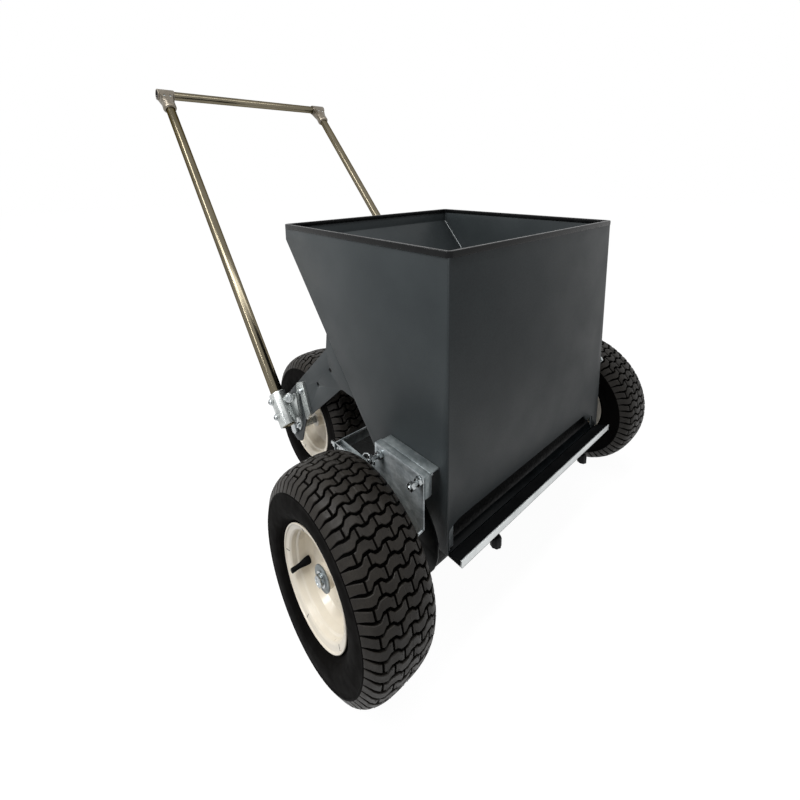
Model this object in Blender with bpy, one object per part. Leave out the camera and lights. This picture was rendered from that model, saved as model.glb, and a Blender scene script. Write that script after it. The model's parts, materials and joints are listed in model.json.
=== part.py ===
"""Push-along lawn topdresser: hopper, belt feed, four turf wheels and a tubular push handle.

Built in metres with +Z up. All dimensions below are in millimetres in the machine frame: x to the
right seen from the front, y backwards from the front panel's outer face, z up from the ground.
The row frame's origin is the centre of the whole machine's footprint on the ground.
"""

import bpy
import bmesh
from math import acos, asin, atan2, cos, degrees, hypot, pi, radians, sin
from mathutils import Vector
from mathutils.geometry import tessellate_polygon

MM = 0.001
SIDES = (("left", -1), ("right", 1))

# Machine frame to row frame: half way between the front tyres and the handle's rear face.
Y_MID = 747.35

# Hopper
SHEET = 3.0
GAP = 0.3
HALF_WIDTH = 323.0
DEPTH = 600.0
PANEL_BOTTOM = 210.0
PANEL_TOP = 800.0
KINK_Z = 765.0
SLOPE_RUN = 0.8688
SLOPE_END_Z = 300.0
CUTOUT_END_Z = 293.6
TRIM_TOP = 808.0
TRIM_BOTTOM = 796.0
TRIM_WALL = 2.4
TRIM_CHAMFER = 1.5

# Outlet in the front panel, with an elliptical corner at its left end and a stepped right end
PANEL_FOOT = 212.0
OUTLET_LEFT = -319.0
OUTLET_RIGHT = 288.0
OUTLET_TOP = 275.0
CORNER_RUN = 45.0
CORNER_RISE = 18.0

# Metering gate, stored fully raised
GATE_HALF = 311.0
GATE_FOOT = 277.0
GATE_TOP = 352.0
GUIDE_OUT = 319.6
GUIDE_SLOT = 311.5
GUIDE_IN = 299.0
GUIDE_FOOT = 214.0
GUIDE_TOP = 424.0

# Apron under the outlet
TRAY_FRONT = -31.0
TRAY_BOTTOM = 203.0
TRAY_TOP = 206.0
LIP_TOP = 225.0
LIP_BOTTOM = 209.5
KNOB_X = 194.0
KNOB_Y = -20.0

# Ground-driven belt feed
AXLE_Y = 132.2
AXLE_Z = 200.0
AXLE_R = 12.5
DRUM_R = 100.0
DRUM_WALL = 4.0
DISC_R = 107.0
CUTOUT_R = 110.0
BELT_T = 4.0
BELT_GAP = 0.5
BELT_HALF = 318.5
TAIL_Y = 322.0
TAIL_Z = 246.0
TAIL_R = 22.0
FRAME_IN = 323.5
FRAME_REAR = 358.4
FRAME_TOP = 282.4
FRAME_BOTTOM = 222.0
FRAME_LOBE_R = 28.0
FRAME_WAIST_Y = 196.0
EAR_REACH = 19.0
EAR_BOTTOM = 256.0
EAR_TOP = 280.0
TENSION_BOLT_X = 335.5
TENSION_BOLT_Z = 268.0

# Wheels
TYRE_R = 200.0
FRONT_WHEEL_X = 475.0
REAR_WHEEL_X = 219.0
REAR_AXLE_Y = 599.0
REAR_AXLE_R = 10.0
VALVE_ANGLE = -20.0
VALVE_REACH = 82.5
TYRE_SEGMENTS = 32
RIM_SEGMENTS = 28

# Axle brackets
PLATE_OUT = 365.0
PLATE_FRONT = 22.5
PLATE_REAR = 166.0
PLATE_TOP = 389.0
PLATE_EDGE_Z = 279.0
ARC_R = 50.0
BAR_BOTTOM = 343.0
BAR_IN = 347.0
ANGLE_OUT = 346.7
BRACKET_BOLTS = (("front", (30.0, 380.0), 395.5), ("rear", (145.0, 373.0), 398.3))
THREAD_R = 4.9
HOLE_R = 5.3
WASHER_R = 9.8
NUT_R = 7.9

# Rear arms
ARM_T = 4.0
ARM_LOBE_R = 40.0

# Handle
TUBE_R = 17.5
TUBE_WALL = 2.6
TUBE_SEGMENTS = 24
LEG_X = 359.0
LEG_FOOT = (571.5, 229.5)
CROSS_Y = 1540.0
CROSS_Z = 1273.5
CROSS_HALF = 382.5
TEE_HALF = 27.5
TEE_R = 22.5
COLLAR_R = 23.0
COLLAR_END = 62.0

# Foot clamps: stations run up the leg from its foot
SLEEVE_R = 24.0
SLEEVE_START = 6.0
SLEEVE_END = 104.0
NECK_START = 14.0
NECK_END = 92.0
NECK_FACE = 331.0
PALM_OUT = 329.3
PALM_BOLT = (574.0, 222.0)
PALM_LOBE_R = 15.0


def clear_scene():
    for item in list(bpy.data.objects):
        bpy.data.objects.remove(item, do_unlink=True)


def material(name, colour, metallic, roughness):
    found = bpy.data.materials.get(name)
    if found:
        return found
    made = bpy.data.materials.new(name)
    made.use_nodes = True
    shader = made.node_tree.nodes["Principled BSDF"]
    shader.inputs["Base Color"].default_value = (*colour, 1.0)
    shader.inputs["Metallic"].default_value = metallic
    shader.inputs["Roughness"].default_value = roughness
    made.diffuse_color = (*colour, 1.0)
    return made


def coat():
    return material("anthracite_powder_coat", (0.040, 0.048, 0.053), 0.0, 0.42)


def zinc():
    return material("zinc_plated_sheet", (0.36, 0.40, 0.42), 0.9, 0.42)


def steel():
    return material("zinc_plated_fastener", (0.52, 0.54, 0.56), 0.95, 0.3)


def tube_steel():
    return material("brushed_tube", (0.33, 0.30, 0.24), 0.95, 0.28)


def cast():
    return material("galvanised_casting", (0.48, 0.48, 0.47), 0.9, 0.4)


def tyre_rubber():
    return material("tyre_rubber", (0.028, 0.024, 0.021), 0.0, 0.78)


def black_rubber():
    return material("black_rubber", (0.010, 0.010, 0.010), 0.0, 0.62)


def belt_rubber():
    return material("belt_rubber", (0.013, 0.014, 0.014), 0.0, 0.55)


def cream_paint():
    return material("cream_gloss_paint", (0.72, 0.67, 0.56), 0.0, 0.3)


def dark_steel():
    return material("painted_drum_steel", (0.022, 0.026, 0.030), 0.3, 0.35)


def lip_metal():
    return material("bare_lip_metal", (0.58, 0.60, 0.60), 0.95, 0.35)


def black_plastic():
    return material("black_plastic", (0.012, 0.012, 0.013), 0.0, 0.45)


def to_row(point):
    """Machine millimetres to row metres."""
    return Vector((point[0] * MM, (point[1] - Y_MID) * MM, point[2] * MM))


def finish(name, bm, mat, pivot=(0.0, Y_MID, 0.0), smooth_angle=None):
    """Turn a bmesh in machine millimetres into a named object whose origin is the pivot."""
    bmesh.ops.recalc_face_normals(bm, faces=bm.faces)
    origin = to_row(pivot)
    for vert in bm.verts:
        vert.co = to_row(vert.co) - origin
    mesh = bpy.data.meshes.new(name)
    bm.to_mesh(mesh)
    bm.free()
    mesh.materials.append(mat)
    if smooth_angle is not None:
        mesh.shade_smooth()
        mesh.set_sharp_from_angle(angle=radians(smooth_angle))
    made = bpy.data.objects.new(name, mesh)
    made.location = origin
    bpy.context.scene.collection.objects.link(made)
    return made


def circle(centre, radius, count, inside=False, phase=0.5):
    """Points round a circle; with inside set, the flats rather than the corners lie on the radius."""
    reach = radius / cos(pi / count) if inside else radius
    turn = 2 * pi / count
    return [(centre[0] + reach * cos(turn * (i + phase)), centre[1] + reach * sin(turn * (i + phase)))
            for i in range(count)]


def arc(centre, radius, start, end, count):
    """Points along an arc, angles in degrees."""
    step = (end - start) / (count - 1)
    return [(centre[0] + radius * cos(radians(start + step * i)),
             centre[1] + radius * sin(radians(start + step * i))) for i in range(count)]


def place(axis, u, v, w):
    """A profile point (u, v) at station w along the axis: x takes (y, z), y takes (x, z), z takes (x, y)."""
    if axis == "x":
        return (w, u, v)
    if axis == "y":
        return (u, w, v)
    return (u, v, w)


def add_prism(bm, axis, low, high, outline, holes=()):
    """A closed prism with through holes, added to the bmesh."""
    loops = [list(outline)] + [list(hole) for hole in holes]
    flat = [point for loop in loops for point in loop]
    ends = []
    for station in (low, high):
        ends.append([bm.verts.new(place(axis, u, v, station)) for u, v in flat])
    vectors = [[Vector((u, v, 0.0)) for u, v in loop] for loop in loops]
    for tri in tessellate_polygon(vectors):
        bm.faces.new([ends[0][i] for i in tri])
        bm.faces.new([ends[1][i] for i in reversed(tri)])
    start = 0
    for loop in loops:
        count = len(loop)
        for i in range(count):
            a = start + i
            b = start + (i + 1) % count
            bm.faces.new((ends[0][a], ends[0][b], ends[1][b], ends[1][a]))
        start += count
    return bm


def prism(name, mat, axis, low, high, outline, holes=(), pivot=(0.0, Y_MID, 0.0), smooth_angle=None):
    bm = add_prism(bmesh.new(), axis, min(low, high), max(low, high), outline, holes)
    return finish(name, bm, mat, pivot, smooth_angle)


def add_ring(bm, profile, count, base, direction, inside=True, phase=0.5):
    """A closed (station, radius) profile turned round an axis through base."""
    frame = Vector(direction).normalized().to_track_quat("Z", "Y").to_matrix()
    scale = 1.0 / cos(pi / count) if inside else 1.0
    rows = []
    for i in range(count):
        angle = 2 * pi * (i + phase) / count
        row = []
        for station, radius in profile:
            reach = radius * scale
            local = Vector((reach * cos(angle), reach * sin(angle), station))
            row.append(bm.verts.new(Vector(base) + frame @ local))
        rows.append(row)
    size = len(profile)
    for i in range(count):
        here = rows[i]
        following = rows[(i + 1) % count]
        for j in range(size):
            k = (j + 1) % size
            bm.faces.new((here[j], here[k], following[k], following[j]))
    return bm


def ring(name, mat, profile, count, base, direction, pivot, smooth_angle=32, inside=True):
    bm = add_ring(bmesh.new(), profile, count, base, direction, inside)
    return finish(name, bm, mat, pivot, smooth_angle)


def section(kind, radius, count):
    """Radii round one cross section: round, or hexagonal with the radius as half the width across flats."""
    radii = []
    for i in range(count):
        if kind == "hex":
            offset = (360.0 * i / count) % 60.0 - 30.0
            radii.append(radius / cos(radians(offset)))
        else:
            radii.append(radius)
    return radii


def add_stack(bm, steps, count, base, direction):
    """A solid turned or hexagonal stud: steps are (station, kind, radius), closed at both ends."""
    frame = Vector(direction).normalized().to_track_quat("Z", "Y").to_matrix()
    rows = []
    for station, kind, radius in steps:
        row = []
        for i, reach in enumerate(section(kind, radius, count)):
            angle = 2 * pi * i / count
            local = Vector((reach * cos(angle), reach * sin(angle), station))
            row.append(bm.verts.new(Vector(base) + frame @ local))
        rows.append(row)
    for here, following in zip(rows, rows[1:]):
        for i in range(count):
            j = (i + 1) % count
            bm.faces.new((here[i], here[j], following[j], following[i]))
    bm.faces.new(list(reversed(rows[0])))
    bm.faces.new(rows[-1])
    return bm


def stack(name, mat, steps, count, base, direction, pivot=(0.0, Y_MID, 0.0), smooth_angle=32):
    bm = add_stack(bmesh.new(), steps, count, base, direction)
    return finish(name, bm, mat, pivot, smooth_angle)


def combine(name, mat, parts, cuts, pivot, smooth_angle):
    """Union of the parts less the cuts, each given as a bmesh in machine millimetres."""
    helpers = []
    for index, bm in enumerate(parts + cuts):
        bmesh.ops.recalc_face_normals(bm, faces=bm.faces)
        mesh = bpy.data.meshes.new(f"{name}_helper_{index}")
        bm.to_mesh(mesh)
        bm.free()
        helper = bpy.data.objects.new(mesh.name, mesh)
        bpy.context.scene.collection.objects.link(helper)
        helpers.append(helper)
    body = helpers[0]
    for index, helper in enumerate(helpers[1:], start=1):
        step = body.modifiers.new(f"step_{index}", "BOOLEAN")
        step.operation = "UNION" if index < len(parts) else "DIFFERENCE"
        step.solver = "EXACT"
        step.use_self = True
        step.object = helper
    bpy.context.view_layer.update()
    graph = bpy.context.evaluated_depsgraph_get()
    mesh = bpy.data.meshes.new_from_object(body.evaluated_get(graph))
    bm = bmesh.new()
    bm.from_mesh(mesh)
    bmesh.ops.remove_doubles(bm, verts=bm.verts, dist=0.002)
    bmesh.ops.triangulate(bm, faces=bm.faces)
    bpy.data.meshes.remove(mesh)
    for helper in helpers:
        bpy.data.objects.remove(helper, do_unlink=True)
    return finish(name, bm, mat, pivot, smooth_angle)


def slope_y(z):
    """Outer face of the sloping rear panel at height z."""
    return DEPTH - SLOPE_RUN * (KINK_Z - z)


def build_hopper():
    inner = HALF_WIDTH - SHEET
    cut_steps = 20
    reach = CUTOUT_R / cos(pi / 2 / (cut_steps - 1))
    start_angle = 180.0 - degrees(asin((PANEL_BOTTOM - AXLE_Z) / reach))
    end_angle = degrees(atan2(CUTOUT_END_Z - AXLE_Z, slope_y(CUTOUT_END_Z) - AXLE_Y))
    outline = [(SHEET + GAP, PANEL_TOP), (SHEET + GAP, PANEL_BOTTOM)]
    outline += arc((AXLE_Y, AXLE_Z), reach, start_angle, end_angle, cut_steps)
    outline += [(slope_y(CUTOUT_END_Z + 4), CUTOUT_END_Z + 4), (DEPTH, KINK_Z), (DEPTH, PANEL_TOP)]
    for side, sign in SIDES:
        prism(f"side_panel_{side}", coat(), "x", sign * inner, sign * HALF_WIDTH, outline)

    edge = [(-HALF_WIDTH, PANEL_TOP), (-HALF_WIDTH, PANEL_FOOT), (OUTLET_LEFT, PANEL_FOOT)]
    for i in range(7):
        angle = radians(15 * i)
        edge.append((OUTLET_LEFT + CORNER_RUN * (1 - cos(angle)),
                     OUTLET_TOP - CORNER_RISE * (1 - sin(angle))))
    step_high = (236.6, 272.5)
    step_low = (249.8, 253.0)
    tab = (OUTLET_RIGHT, 251.0)
    edge += [step_high, step_low, tab, (OUTLET_RIGHT, PANEL_FOOT), (HALF_WIDTH, PANEL_FOOT),
             (HALF_WIDTH, PANEL_TOP)]
    prism("front_panel", coat(), "y", 0.0, SHEET, edge)

    shift = SHEET * hypot(SLOPE_RUN, 1.0)
    rear = [(DEPTH, PANEL_TOP), (DEPTH - SHEET, PANEL_TOP), (DEPTH - SHEET, KINK_Z + 1.2),
            (slope_y(SLOPE_END_Z) - shift, SLOPE_END_Z), (slope_y(SLOPE_END_Z), SLOPE_END_Z),
            (DEPTH, KINK_Z)]
    prism("rear_panel", coat(), "x", -(inner - GAP), inner - GAP, rear)
    build_trim()


def build_trim():
    """Push-on edge trim: a U section carried round the mouth with mitred corners."""
    half = SHEET / 2
    grip = half + GAP
    out = grip + TRIM_WALL
    shoulder = out - TRIM_CHAMFER
    section_points = [(-out, TRIM_BOTTOM), (-grip, TRIM_BOTTOM), (-grip, PANEL_TOP + GAP),
                      (grip, PANEL_TOP + GAP), (grip, TRIM_BOTTOM), (out, TRIM_BOTTOM),
                      (out, TRIM_TOP - TRIM_CHAMFER), (shoulder, TRIM_TOP), (-shoulder, TRIM_TOP),
                      (-out, TRIM_TOP - TRIM_CHAMFER)]
    half_x = HALF_WIDTH - half
    half_y = (DEPTH - SHEET) / 2
    bm = bmesh.new()
    rows = []
    for cx, cy in ((-1, -1), (1, -1), (1, 1), (-1, 1)):
        rows.append([bm.verts.new((cx * (half_x + off), DEPTH / 2 + cy * (half_y + off), z))
                     for off, z in section_points])
    count = len(section_points)
    for i in range(4):
        here = rows[i]
        following = rows[(i + 1) % 4]
        for j in range(count):
            k = (j + 1) % count
            bm.faces.new((here[j], here[k], following[k], following[j]))
    finish("rim_trim", bm, black_rubber())


def build_gate():
    """Sliding metering plate, stored fully raised, in two folded guides behind the front panel."""
    front = SHEET + 0.4
    rear = front + SHEET + 0.4
    back = front + 6.4
    plate = [(-GATE_HALF, GATE_FOOT), (GATE_HALF, GATE_FOOT), (GATE_HALF, GATE_TOP), (-GATE_HALF, GATE_TOP)]
    prism("metering_gate", dark_steel(), "y", front, front + SHEET, plate)
    for side, sign in SIDES:
        channel = [(sign * GUIDE_OUT, front), (sign * GUIDE_SLOT, front), (sign * GUIDE_SLOT, rear),
                   (sign * GUIDE_IN, rear), (sign * GUIDE_IN, back), (sign * GUIDE_OUT, back)]
        prism(f"gate_guide_{side}", zinc(), "z", GUIDE_FOOT, GUIDE_TOP, channel)


def build_apron():
    step_front = SHEET + GAP
    step_rear = 22.0
    step_top = 209.7
    tray = [(TRAY_FRONT, TRAY_BOTTOM), (step_rear, TRAY_BOTTOM), (step_rear, step_top),
            (step_front, step_top), (step_front, TRAY_TOP), (TRAY_FRONT, TRAY_TOP)]
    prism("apron_tray", dark_steel(), "x", -316.0, 316.0, tray)
    wedge = [(-GAP, TRAY_TOP + GAP), (-GAP, 211.0), (TRAY_FRONT, 222.0), (TRAY_FRONT, TRAY_TOP + GAP)]
    prism("apron_rubber", black_rubber(), "x", -319.0, 319.0, wedge)
    face = TRAY_FRONT - GAP
    strip = [(face - SHEET, LIP_BOTTOM), (face, LIP_BOTTOM), (face, LIP_TOP), (face - SHEET, LIP_TOP)]
    prism("lip_strip", lip_metal(), "x", -321.6, 321.6, strip)
    stud_top = TRAY_BOTTOM - GAP
    steps = [(163.0, "round", 9.5), (165.0, "round", 12.3), (184.0, "round", 12.3), (187.0, "round", 9.0),
             (187.5, "round", 4.0), (stud_top, "round", 4.0)]
    for side, sign in SIDES:
        x = sign * KNOB_X
        stack(f"apron_knob_{side}", black_plastic(), steps, 16, (x, KNOB_Y, 0.0), (0, 0, 1),
              pivot=(x, KNOB_Y, 175.0))


def belt_loop(extra):
    """Corner points of a loop round the drum and the tail roller, its flats at their radius plus extra."""
    drum = (AXLE_Y, AXLE_Z)
    tail = (TAIL_Y, TAIL_Z)
    span = hypot(tail[0] - drum[0], tail[1] - drum[1])
    tilt = atan2(tail[1] - drum[1], tail[0] - drum[0])
    spread = acos((DRUM_R - TAIL_R) / span)
    points = []
    for centre, radius, start, sweep, count in ((drum, DRUM_R, tilt + spread, 2 * (pi - spread), 28),
                                                (tail, TAIL_R, tilt - spread, 2 * spread, 8)):
        step = sweep / count
        reach = (radius + extra) / cos(step / 2)
        for i in range(count):
            angle = start + step * (i + 0.5)
            points.append((centre[0] + reach * cos(angle), centre[1] + reach * sin(angle)))
    return points


def build_drive():
    axle = (0.0, AXLE_Y, AXLE_Z)
    disc_in = HALF_WIDTH - SHEET
    bore = AXLE_R + GAP
    profile = [(-HALF_WIDTH, bore), (-HALF_WIDTH, DISC_R), (-disc_in, DISC_R), (-disc_in, DRUM_R),
               (disc_in, DRUM_R), (disc_in, DISC_R), (HALF_WIDTH, DISC_R), (HALF_WIDTH, bore),
               (disc_in, bore), (disc_in, DRUM_R - DRUM_WALL), (-disc_in, DRUM_R - DRUM_WALL),
               (-disc_in, bore)]
    ring("drive_drum", dark_steel(), profile, 32, axle, (1, 0, 0), axle, inside=False)

    inner = belt_loop(BELT_GAP)
    outer = belt_loop(BELT_GAP + BELT_T)
    prism("conveyor_belt", belt_rubber(), "x", -BELT_HALF, BELT_HALF, outer, [inner], smooth_angle=32)

    tail = (0.0, TAIL_Y, TAIL_Z)
    pin_end = 331.0
    pin_r = 5.5
    roll_end = 318.0
    steps = [(-pin_end, "round", pin_r), (-roll_end, "round", pin_r), (-roll_end, "round", TAIL_R),
             (roll_end, "round", TAIL_R), (roll_end, "round", pin_r), (pin_end, "round", pin_r)]
    stack("tail_roller", dark_steel(), steps, 24, tail, (1, 0, 0), pivot=tail)

    reach = FRONT_WHEEL_X + 43.7
    shaft = [(-reach, "round", AXLE_R), (reach, "round", AXLE_R)]
    stack("front_axle", steel(), shaft, 24, axle, (1, 0, 0), pivot=axle)

    low = FRAME_IN + SHEET + GAP
    high = PLATE_OUT - SHEET - GAP
    flange = high - 8.0
    housing = [(low, bore), (low, 24.0), (low + 10.0, 27.0), (flange, 27.0), (flange, 38.0),
               (high, 38.0), (high, bore)]
    for side, sign in SIDES:
        ring(f"axle_bearing_{side}", cast(), housing, 20, axle, (sign, 0, 0), axle)
    build_tension_frame()


def build_tension_frame():
    """One folded strip: two side arms hung on the axle and a cross member behind the tail roller."""
    eye = circle((AXLE_Y, AXLE_Z), AXLE_R + 1.0, 18, inside=True)
    slot = circle((TAIL_Y, TAIL_Z), 6.2, 12, inside=True)
    rear = FRAME_REAR - 1.0
    outline = arc((AXLE_Y, AXLE_Z), FRAME_LOBE_R, 100.0, 300.0, 12)
    outline += [(FRAME_WAIST_Y, FRAME_BOTTOM), (rear, FRAME_BOTTOM), (rear, FRAME_TOP),
                (FRAME_WAIST_Y, FRAME_TOP)]
    wide = FRAME_IN + SHEET
    arms = [add_prism(bmesh.new(), "x", *sorted((sign * FRAME_IN, sign * wide)), outline, [eye, slot])
            for side, sign in SIDES]
    ear = wide + EAR_REACH
    cross = [(-wide, FRAME_BOTTOM), (wide, FRAME_BOTTOM), (wide, EAR_BOTTOM), (ear, EAR_BOTTOM),
             (ear, EAR_TOP), (wide, FRAME_TOP), (-wide, FRAME_TOP), (-ear, EAR_TOP),
             (-ear, EAR_BOTTOM), (-wide, EAR_BOTTOM)]
    holes = [circle((sign * TENSION_BOLT_X, TENSION_BOLT_Z), HOLE_R, 12, inside=True) for side, sign in SIDES]
    strip = add_prism(bmesh.new(), "y", FRAME_REAR - SHEET, FRAME_REAR, cross, holes)
    combine("tension_frame", zinc(), [strip] + arms, [], (0.0, Y_MID, 0.0), 32)

    front_face = FRAME_REAR - SHEET - GAP
    rear_face = FRAME_REAR + GAP
    washer_end = rear_face + 1.9
    steps = [(318.0, "round", THREAD_R), (front_face - 8.7, "round", THREAD_R),
             (front_face - 8.7, "hex", 6.3), (front_face, "hex", 6.3), (front_face, "round", THREAD_R),
             (rear_face, "round", THREAD_R), (rear_face, "round", 8.8), (washer_end, "round", 8.8),
             (washer_end, "hex", 7.6), (washer_end + 7.8, "hex", 7.6),
             (washer_end + 7.8, "round", THREAD_R), (washer_end + 20.8, "round", THREAD_R)]
    for side, sign in SIDES:
        stack(f"tension_bolt_{side}", steel(), steps, 12, (sign * TENSION_BOLT_X, 0.0, TENSION_BOLT_Z),
              (0, 1, 0))


def build_bracket(side, sign):
    """Axle plate, bar, angle and bolts of one side; the plate's front edge runs tangent to its round foot."""
    front = (PLATE_FRONT, PLATE_EDGE_Z)
    reach = hypot(AXLE_Y - front[0], AXLE_Z - front[1])
    slant = (reach ** 2 - ARC_R ** 2) ** 0.5
    aim = atan2(AXLE_Z - front[1], AXLE_Y - front[0]) - atan2(ARC_R, slant)
    rear_angle = degrees(acos((PLATE_REAR - AXLE_Y) / ARC_R))
    outline = [(PLATE_FRONT, PLATE_TOP), front]
    outline += arc((AXLE_Y, AXLE_Z), ARC_R, degrees(aim) - 90.0, rear_angle, 16)
    outline += [(PLATE_REAR, PLATE_TOP)]
    holes = [circle(point, HOLE_R, 12, inside=True) for name, point, tip in BRACKET_BOLTS]
    bore = circle((AXLE_Y, AXLE_Z), 16.0, 18, inside=True)
    inner = PLATE_OUT - SHEET
    plate = add_prism(bmesh.new(), "x", *sorted((sign * inner, sign * PLATE_OUT)), outline, holes + [bore])

    # Stiffening lip folded outwards along the slanting front edge.
    along = (cos(aim), sin(aim))
    across = (-along[1], along[0])
    ends = [(front[0] + along[0] * d, front[1] + along[1] * d) for d in (3.0, slant - 6.0)]
    lip = ends + [(y + across[0] * SHEET, z + across[1] * SHEET) for y, z in reversed(ends)]
    fold = add_prism(bmesh.new(), "x", *sorted((sign * (inner + 0.8), sign * (PLATE_OUT + 11.0))), lip)
    combine(f"axle_plate_{side}", zinc(), [plate, fold], [], (0.0, Y_MID, 0.0), 32)

    bar_front = 21.0
    bar = [(bar_front, BAR_BOTTOM), (PLATE_REAR, BAR_BOTTOM), (PLATE_REAR, PLATE_TOP), (bar_front, PLATE_TOP)]
    prism(f"spacer_bar_{side}", zinc(), "x", sign * BAR_IN, sign * (inner - GAP), bar, holes)

    flange_in = sign * (HALF_WIDTH + GAP)
    web_in = sign * (ANGLE_OUT - SHEET)
    angle = [(sign * ANGLE_OUT, BAR_BOTTOM), (web_in, BAR_BOTTOM), (web_in, PLATE_TOP - SHEET),
             (flange_in, PLATE_TOP - SHEET), (flange_in, PLATE_TOP), (sign * ANGLE_OUT, PLATE_TOP)]
    body = add_prism(bmesh.new(), "y", 22.0, 163.0, angle)
    drills = [add_prism(bmesh.new(), "x", *sorted((sign * 340.0, sign * 350.0)), hole) for hole in holes]
    combine(f"mount_angle_{side}", zinc(), [body], drills, (0.0, Y_MID, 0.0), 32)

    head_start = 336.8
    head_end = ANGLE_OUT - SHEET - GAP
    washer = PLATE_OUT + GAP
    nut = washer + 2.0
    for name, (y, z), tip in BRACKET_BOLTS:
        under_flange = z + NUT_R > PLATE_TOP - SHEET
        head = ("round", 5.6) if under_flange else ("hex", 7.6)
        steps = [(head_start, *head), (head_end, *head), (head_end, "round", THREAD_R),
                 (washer, "round", THREAD_R), (washer, "round", WASHER_R), (nut, "round", WASHER_R),
                 (nut, "hex", NUT_R), (nut + 8.0, "hex", NUT_R), (nut + 8.0, "round", THREAD_R),
                 (tip - 11.0, "round", THREAD_R), (tip - 11.0, "hex", NUT_R), (tip - 3.5, "hex", NUT_R),
                 (tip - 3.5, "round", THREAD_R), (tip, "round", THREAD_R)]
        stack(f"bracket_bolt_{name}_{side}", steel(), steps, 12, (0.0, y, z), (sign, 0, 0))


def rim_profile(bore):
    """Pressed disc wheel: hub tube, dished web, barrel with a well and two rolled flanges."""
    return [(44.0, bore), (44.0, 22.0), (11.0, 23.0), (8.0, 70.0), (20.0, 90.0), (63.0, 94.0),
            (68.0, 108.0), (64.5, 108.8), (60.8, 98.0), (20.0, 94.5), (-60.8, 98.0), (-64.5, 108.8),
            (-68.0, 108.0), (-63.0, 94.0), (9.0, 90.5), (3.0, 70.0), (1.0, 22.0), (-60.0, 22.0),
            (-60.0, bore)]


def tyre_profile():
    """Turf tyre, nearly square tread shoulders, open towards the rim."""
    half = [(50.0, 99.5), (60.0, 99.5), (60.2, 108.4), (68.0, 114.5), (77.0, 136.0), (78.0, 158.0),
            (71.0, 187.0), (58.0, 197.5), (30.0, TYRE_R)]
    inside = [(50.0, 184.0), (68.0, 160.0), (60.0, 120.0)]
    left = [(-s, r) for s, r in reversed(half)]
    inner_left = [(-s, r) for s, r in reversed(inside)]
    return half + left + inner_left + inside


def build_wheel(label, x, y, sign, bore):
    centre = (x, y, AXLE_Z)
    pivot = (0.0, y, AXLE_Z) if abs(x) > 300.0 else centre
    out = (sign, 0, 0)
    ring(f"{label}_tyre", tyre_rubber(), tyre_profile(), TYRE_SEGMENTS, centre, out, pivot, 40)
    ring(f"{label}_rim", cream_paint(), rim_profile(bore), RIM_SEGMENTS, centre, out, pivot, 40,
         inside=False)
    steps = [(30.0, "round", 8.0), (46.0, "round", 7.0), (49.0, "round", 5.0), (68.0, "round", 5.0),
             (70.0, "round", 4.0)]
    angle = radians(VALVE_ANGLE)
    foot = (x, y + VALVE_REACH * cos(angle), AXLE_Z + VALVE_REACH * sin(angle))
    stack(f"{label}_valve", black_rubber(), steps, 12, foot, out, pivot)


def build_wheels():
    for side, sign in SIDES:
        build_wheel(f"front_{side}", sign * FRONT_WHEEL_X, AXLE_Y, sign, AXLE_R + GAP)
        build_wheel(f"rear_{side}", sign * REAR_WHEEL_X, REAR_AXLE_Y, sign, REAR_AXLE_R + GAP)
        hub = [(44.3, "round", 25.0), (47.3, "round", 25.0), (47.3, "hex", 9.4), (53.0, "hex", 9.4)]
        stack(f"hub_bolt_{side}", steel(), hub, 24, (sign * FRONT_WHEEL_X, AXLE_Y, AXLE_Z), (sign, 0, 0),
              pivot=(0.0, AXLE_Y, AXLE_Z))
    nut_in = HALF_WIDTH + 1.0
    nut_out = nut_in + 11.0
    nut_r = 14.0
    steps = [(-nut_out, "hex", nut_r), (-nut_in, "hex", nut_r), (-nut_in, "round", REAR_AXLE_R),
             (nut_in, "round", REAR_AXLE_R), (nut_in, "hex", nut_r), (nut_out, "hex", nut_r)]
    stack("rear_axle", steel(), steps, 24, (0.0, REAR_AXLE_Y, AXLE_Z), (1, 0, 0))


def build_rear_arms():
    """Flat arms from the hopper's slope to the rear axle, bellied at the back and hollowed at the front."""
    top_z = 545.0
    root_z = 416.0
    on_slope = 0.5
    outline = [(slope_y(top_z) + on_slope, top_z), (415.5, 503.0), (626.0, 308.0), (640.0, 286.0)]
    outline += arc((REAR_AXLE_Y, AXLE_Z), ARM_LOBE_R, 24.0, -138.0, 15)
    outline += [(540.0, 252.0), (358.0, 413.0), (352.0, 417.0), (345.0, 418.4),
                (slope_y(root_z) + on_slope, root_z)]
    holes = [circle((399.0, 451.0), 6.0, 10, inside=True), circle((464.0, 388.0), 6.0, 10, inside=True),
             circle((REAR_AXLE_Y, AXLE_Z), REAR_AXLE_R + GAP, 18, inside=True)]
    for side, sign in SIDES:
        prism(f"rear_arm_{side}", coat(), "x", sign * (HALF_WIDTH - ARM_T), sign * HALF_WIDTH, outline, holes)


def leg_direction():
    length = hypot(CROSS_Y - LEG_FOOT[0], CROSS_Z - LEG_FOOT[1])
    return length, (0.0, (CROSS_Y - LEG_FOOT[0]) / length, (CROSS_Z - LEG_FOOT[1]) / length)


def on_leg(distance, x):
    """The point this far up a leg's centre line from its foot."""
    rise = leg_direction()[1]
    return (x, LEG_FOOT[0] + rise[1] * distance, LEG_FOOT[1] + rise[2] * distance)


def ring_points(base, direction, radius, count=TUBE_SEGMENTS):
    """Points of a circle square to a direction."""
    frame = Vector(direction).normalized().to_track_quat("Z", "Y").to_matrix()
    angles = [2 * pi * i / count for i in range(count)]
    return [Vector(base) + frame @ Vector((radius * cos(a), radius * sin(a), 0.0)) for a in angles]


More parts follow.
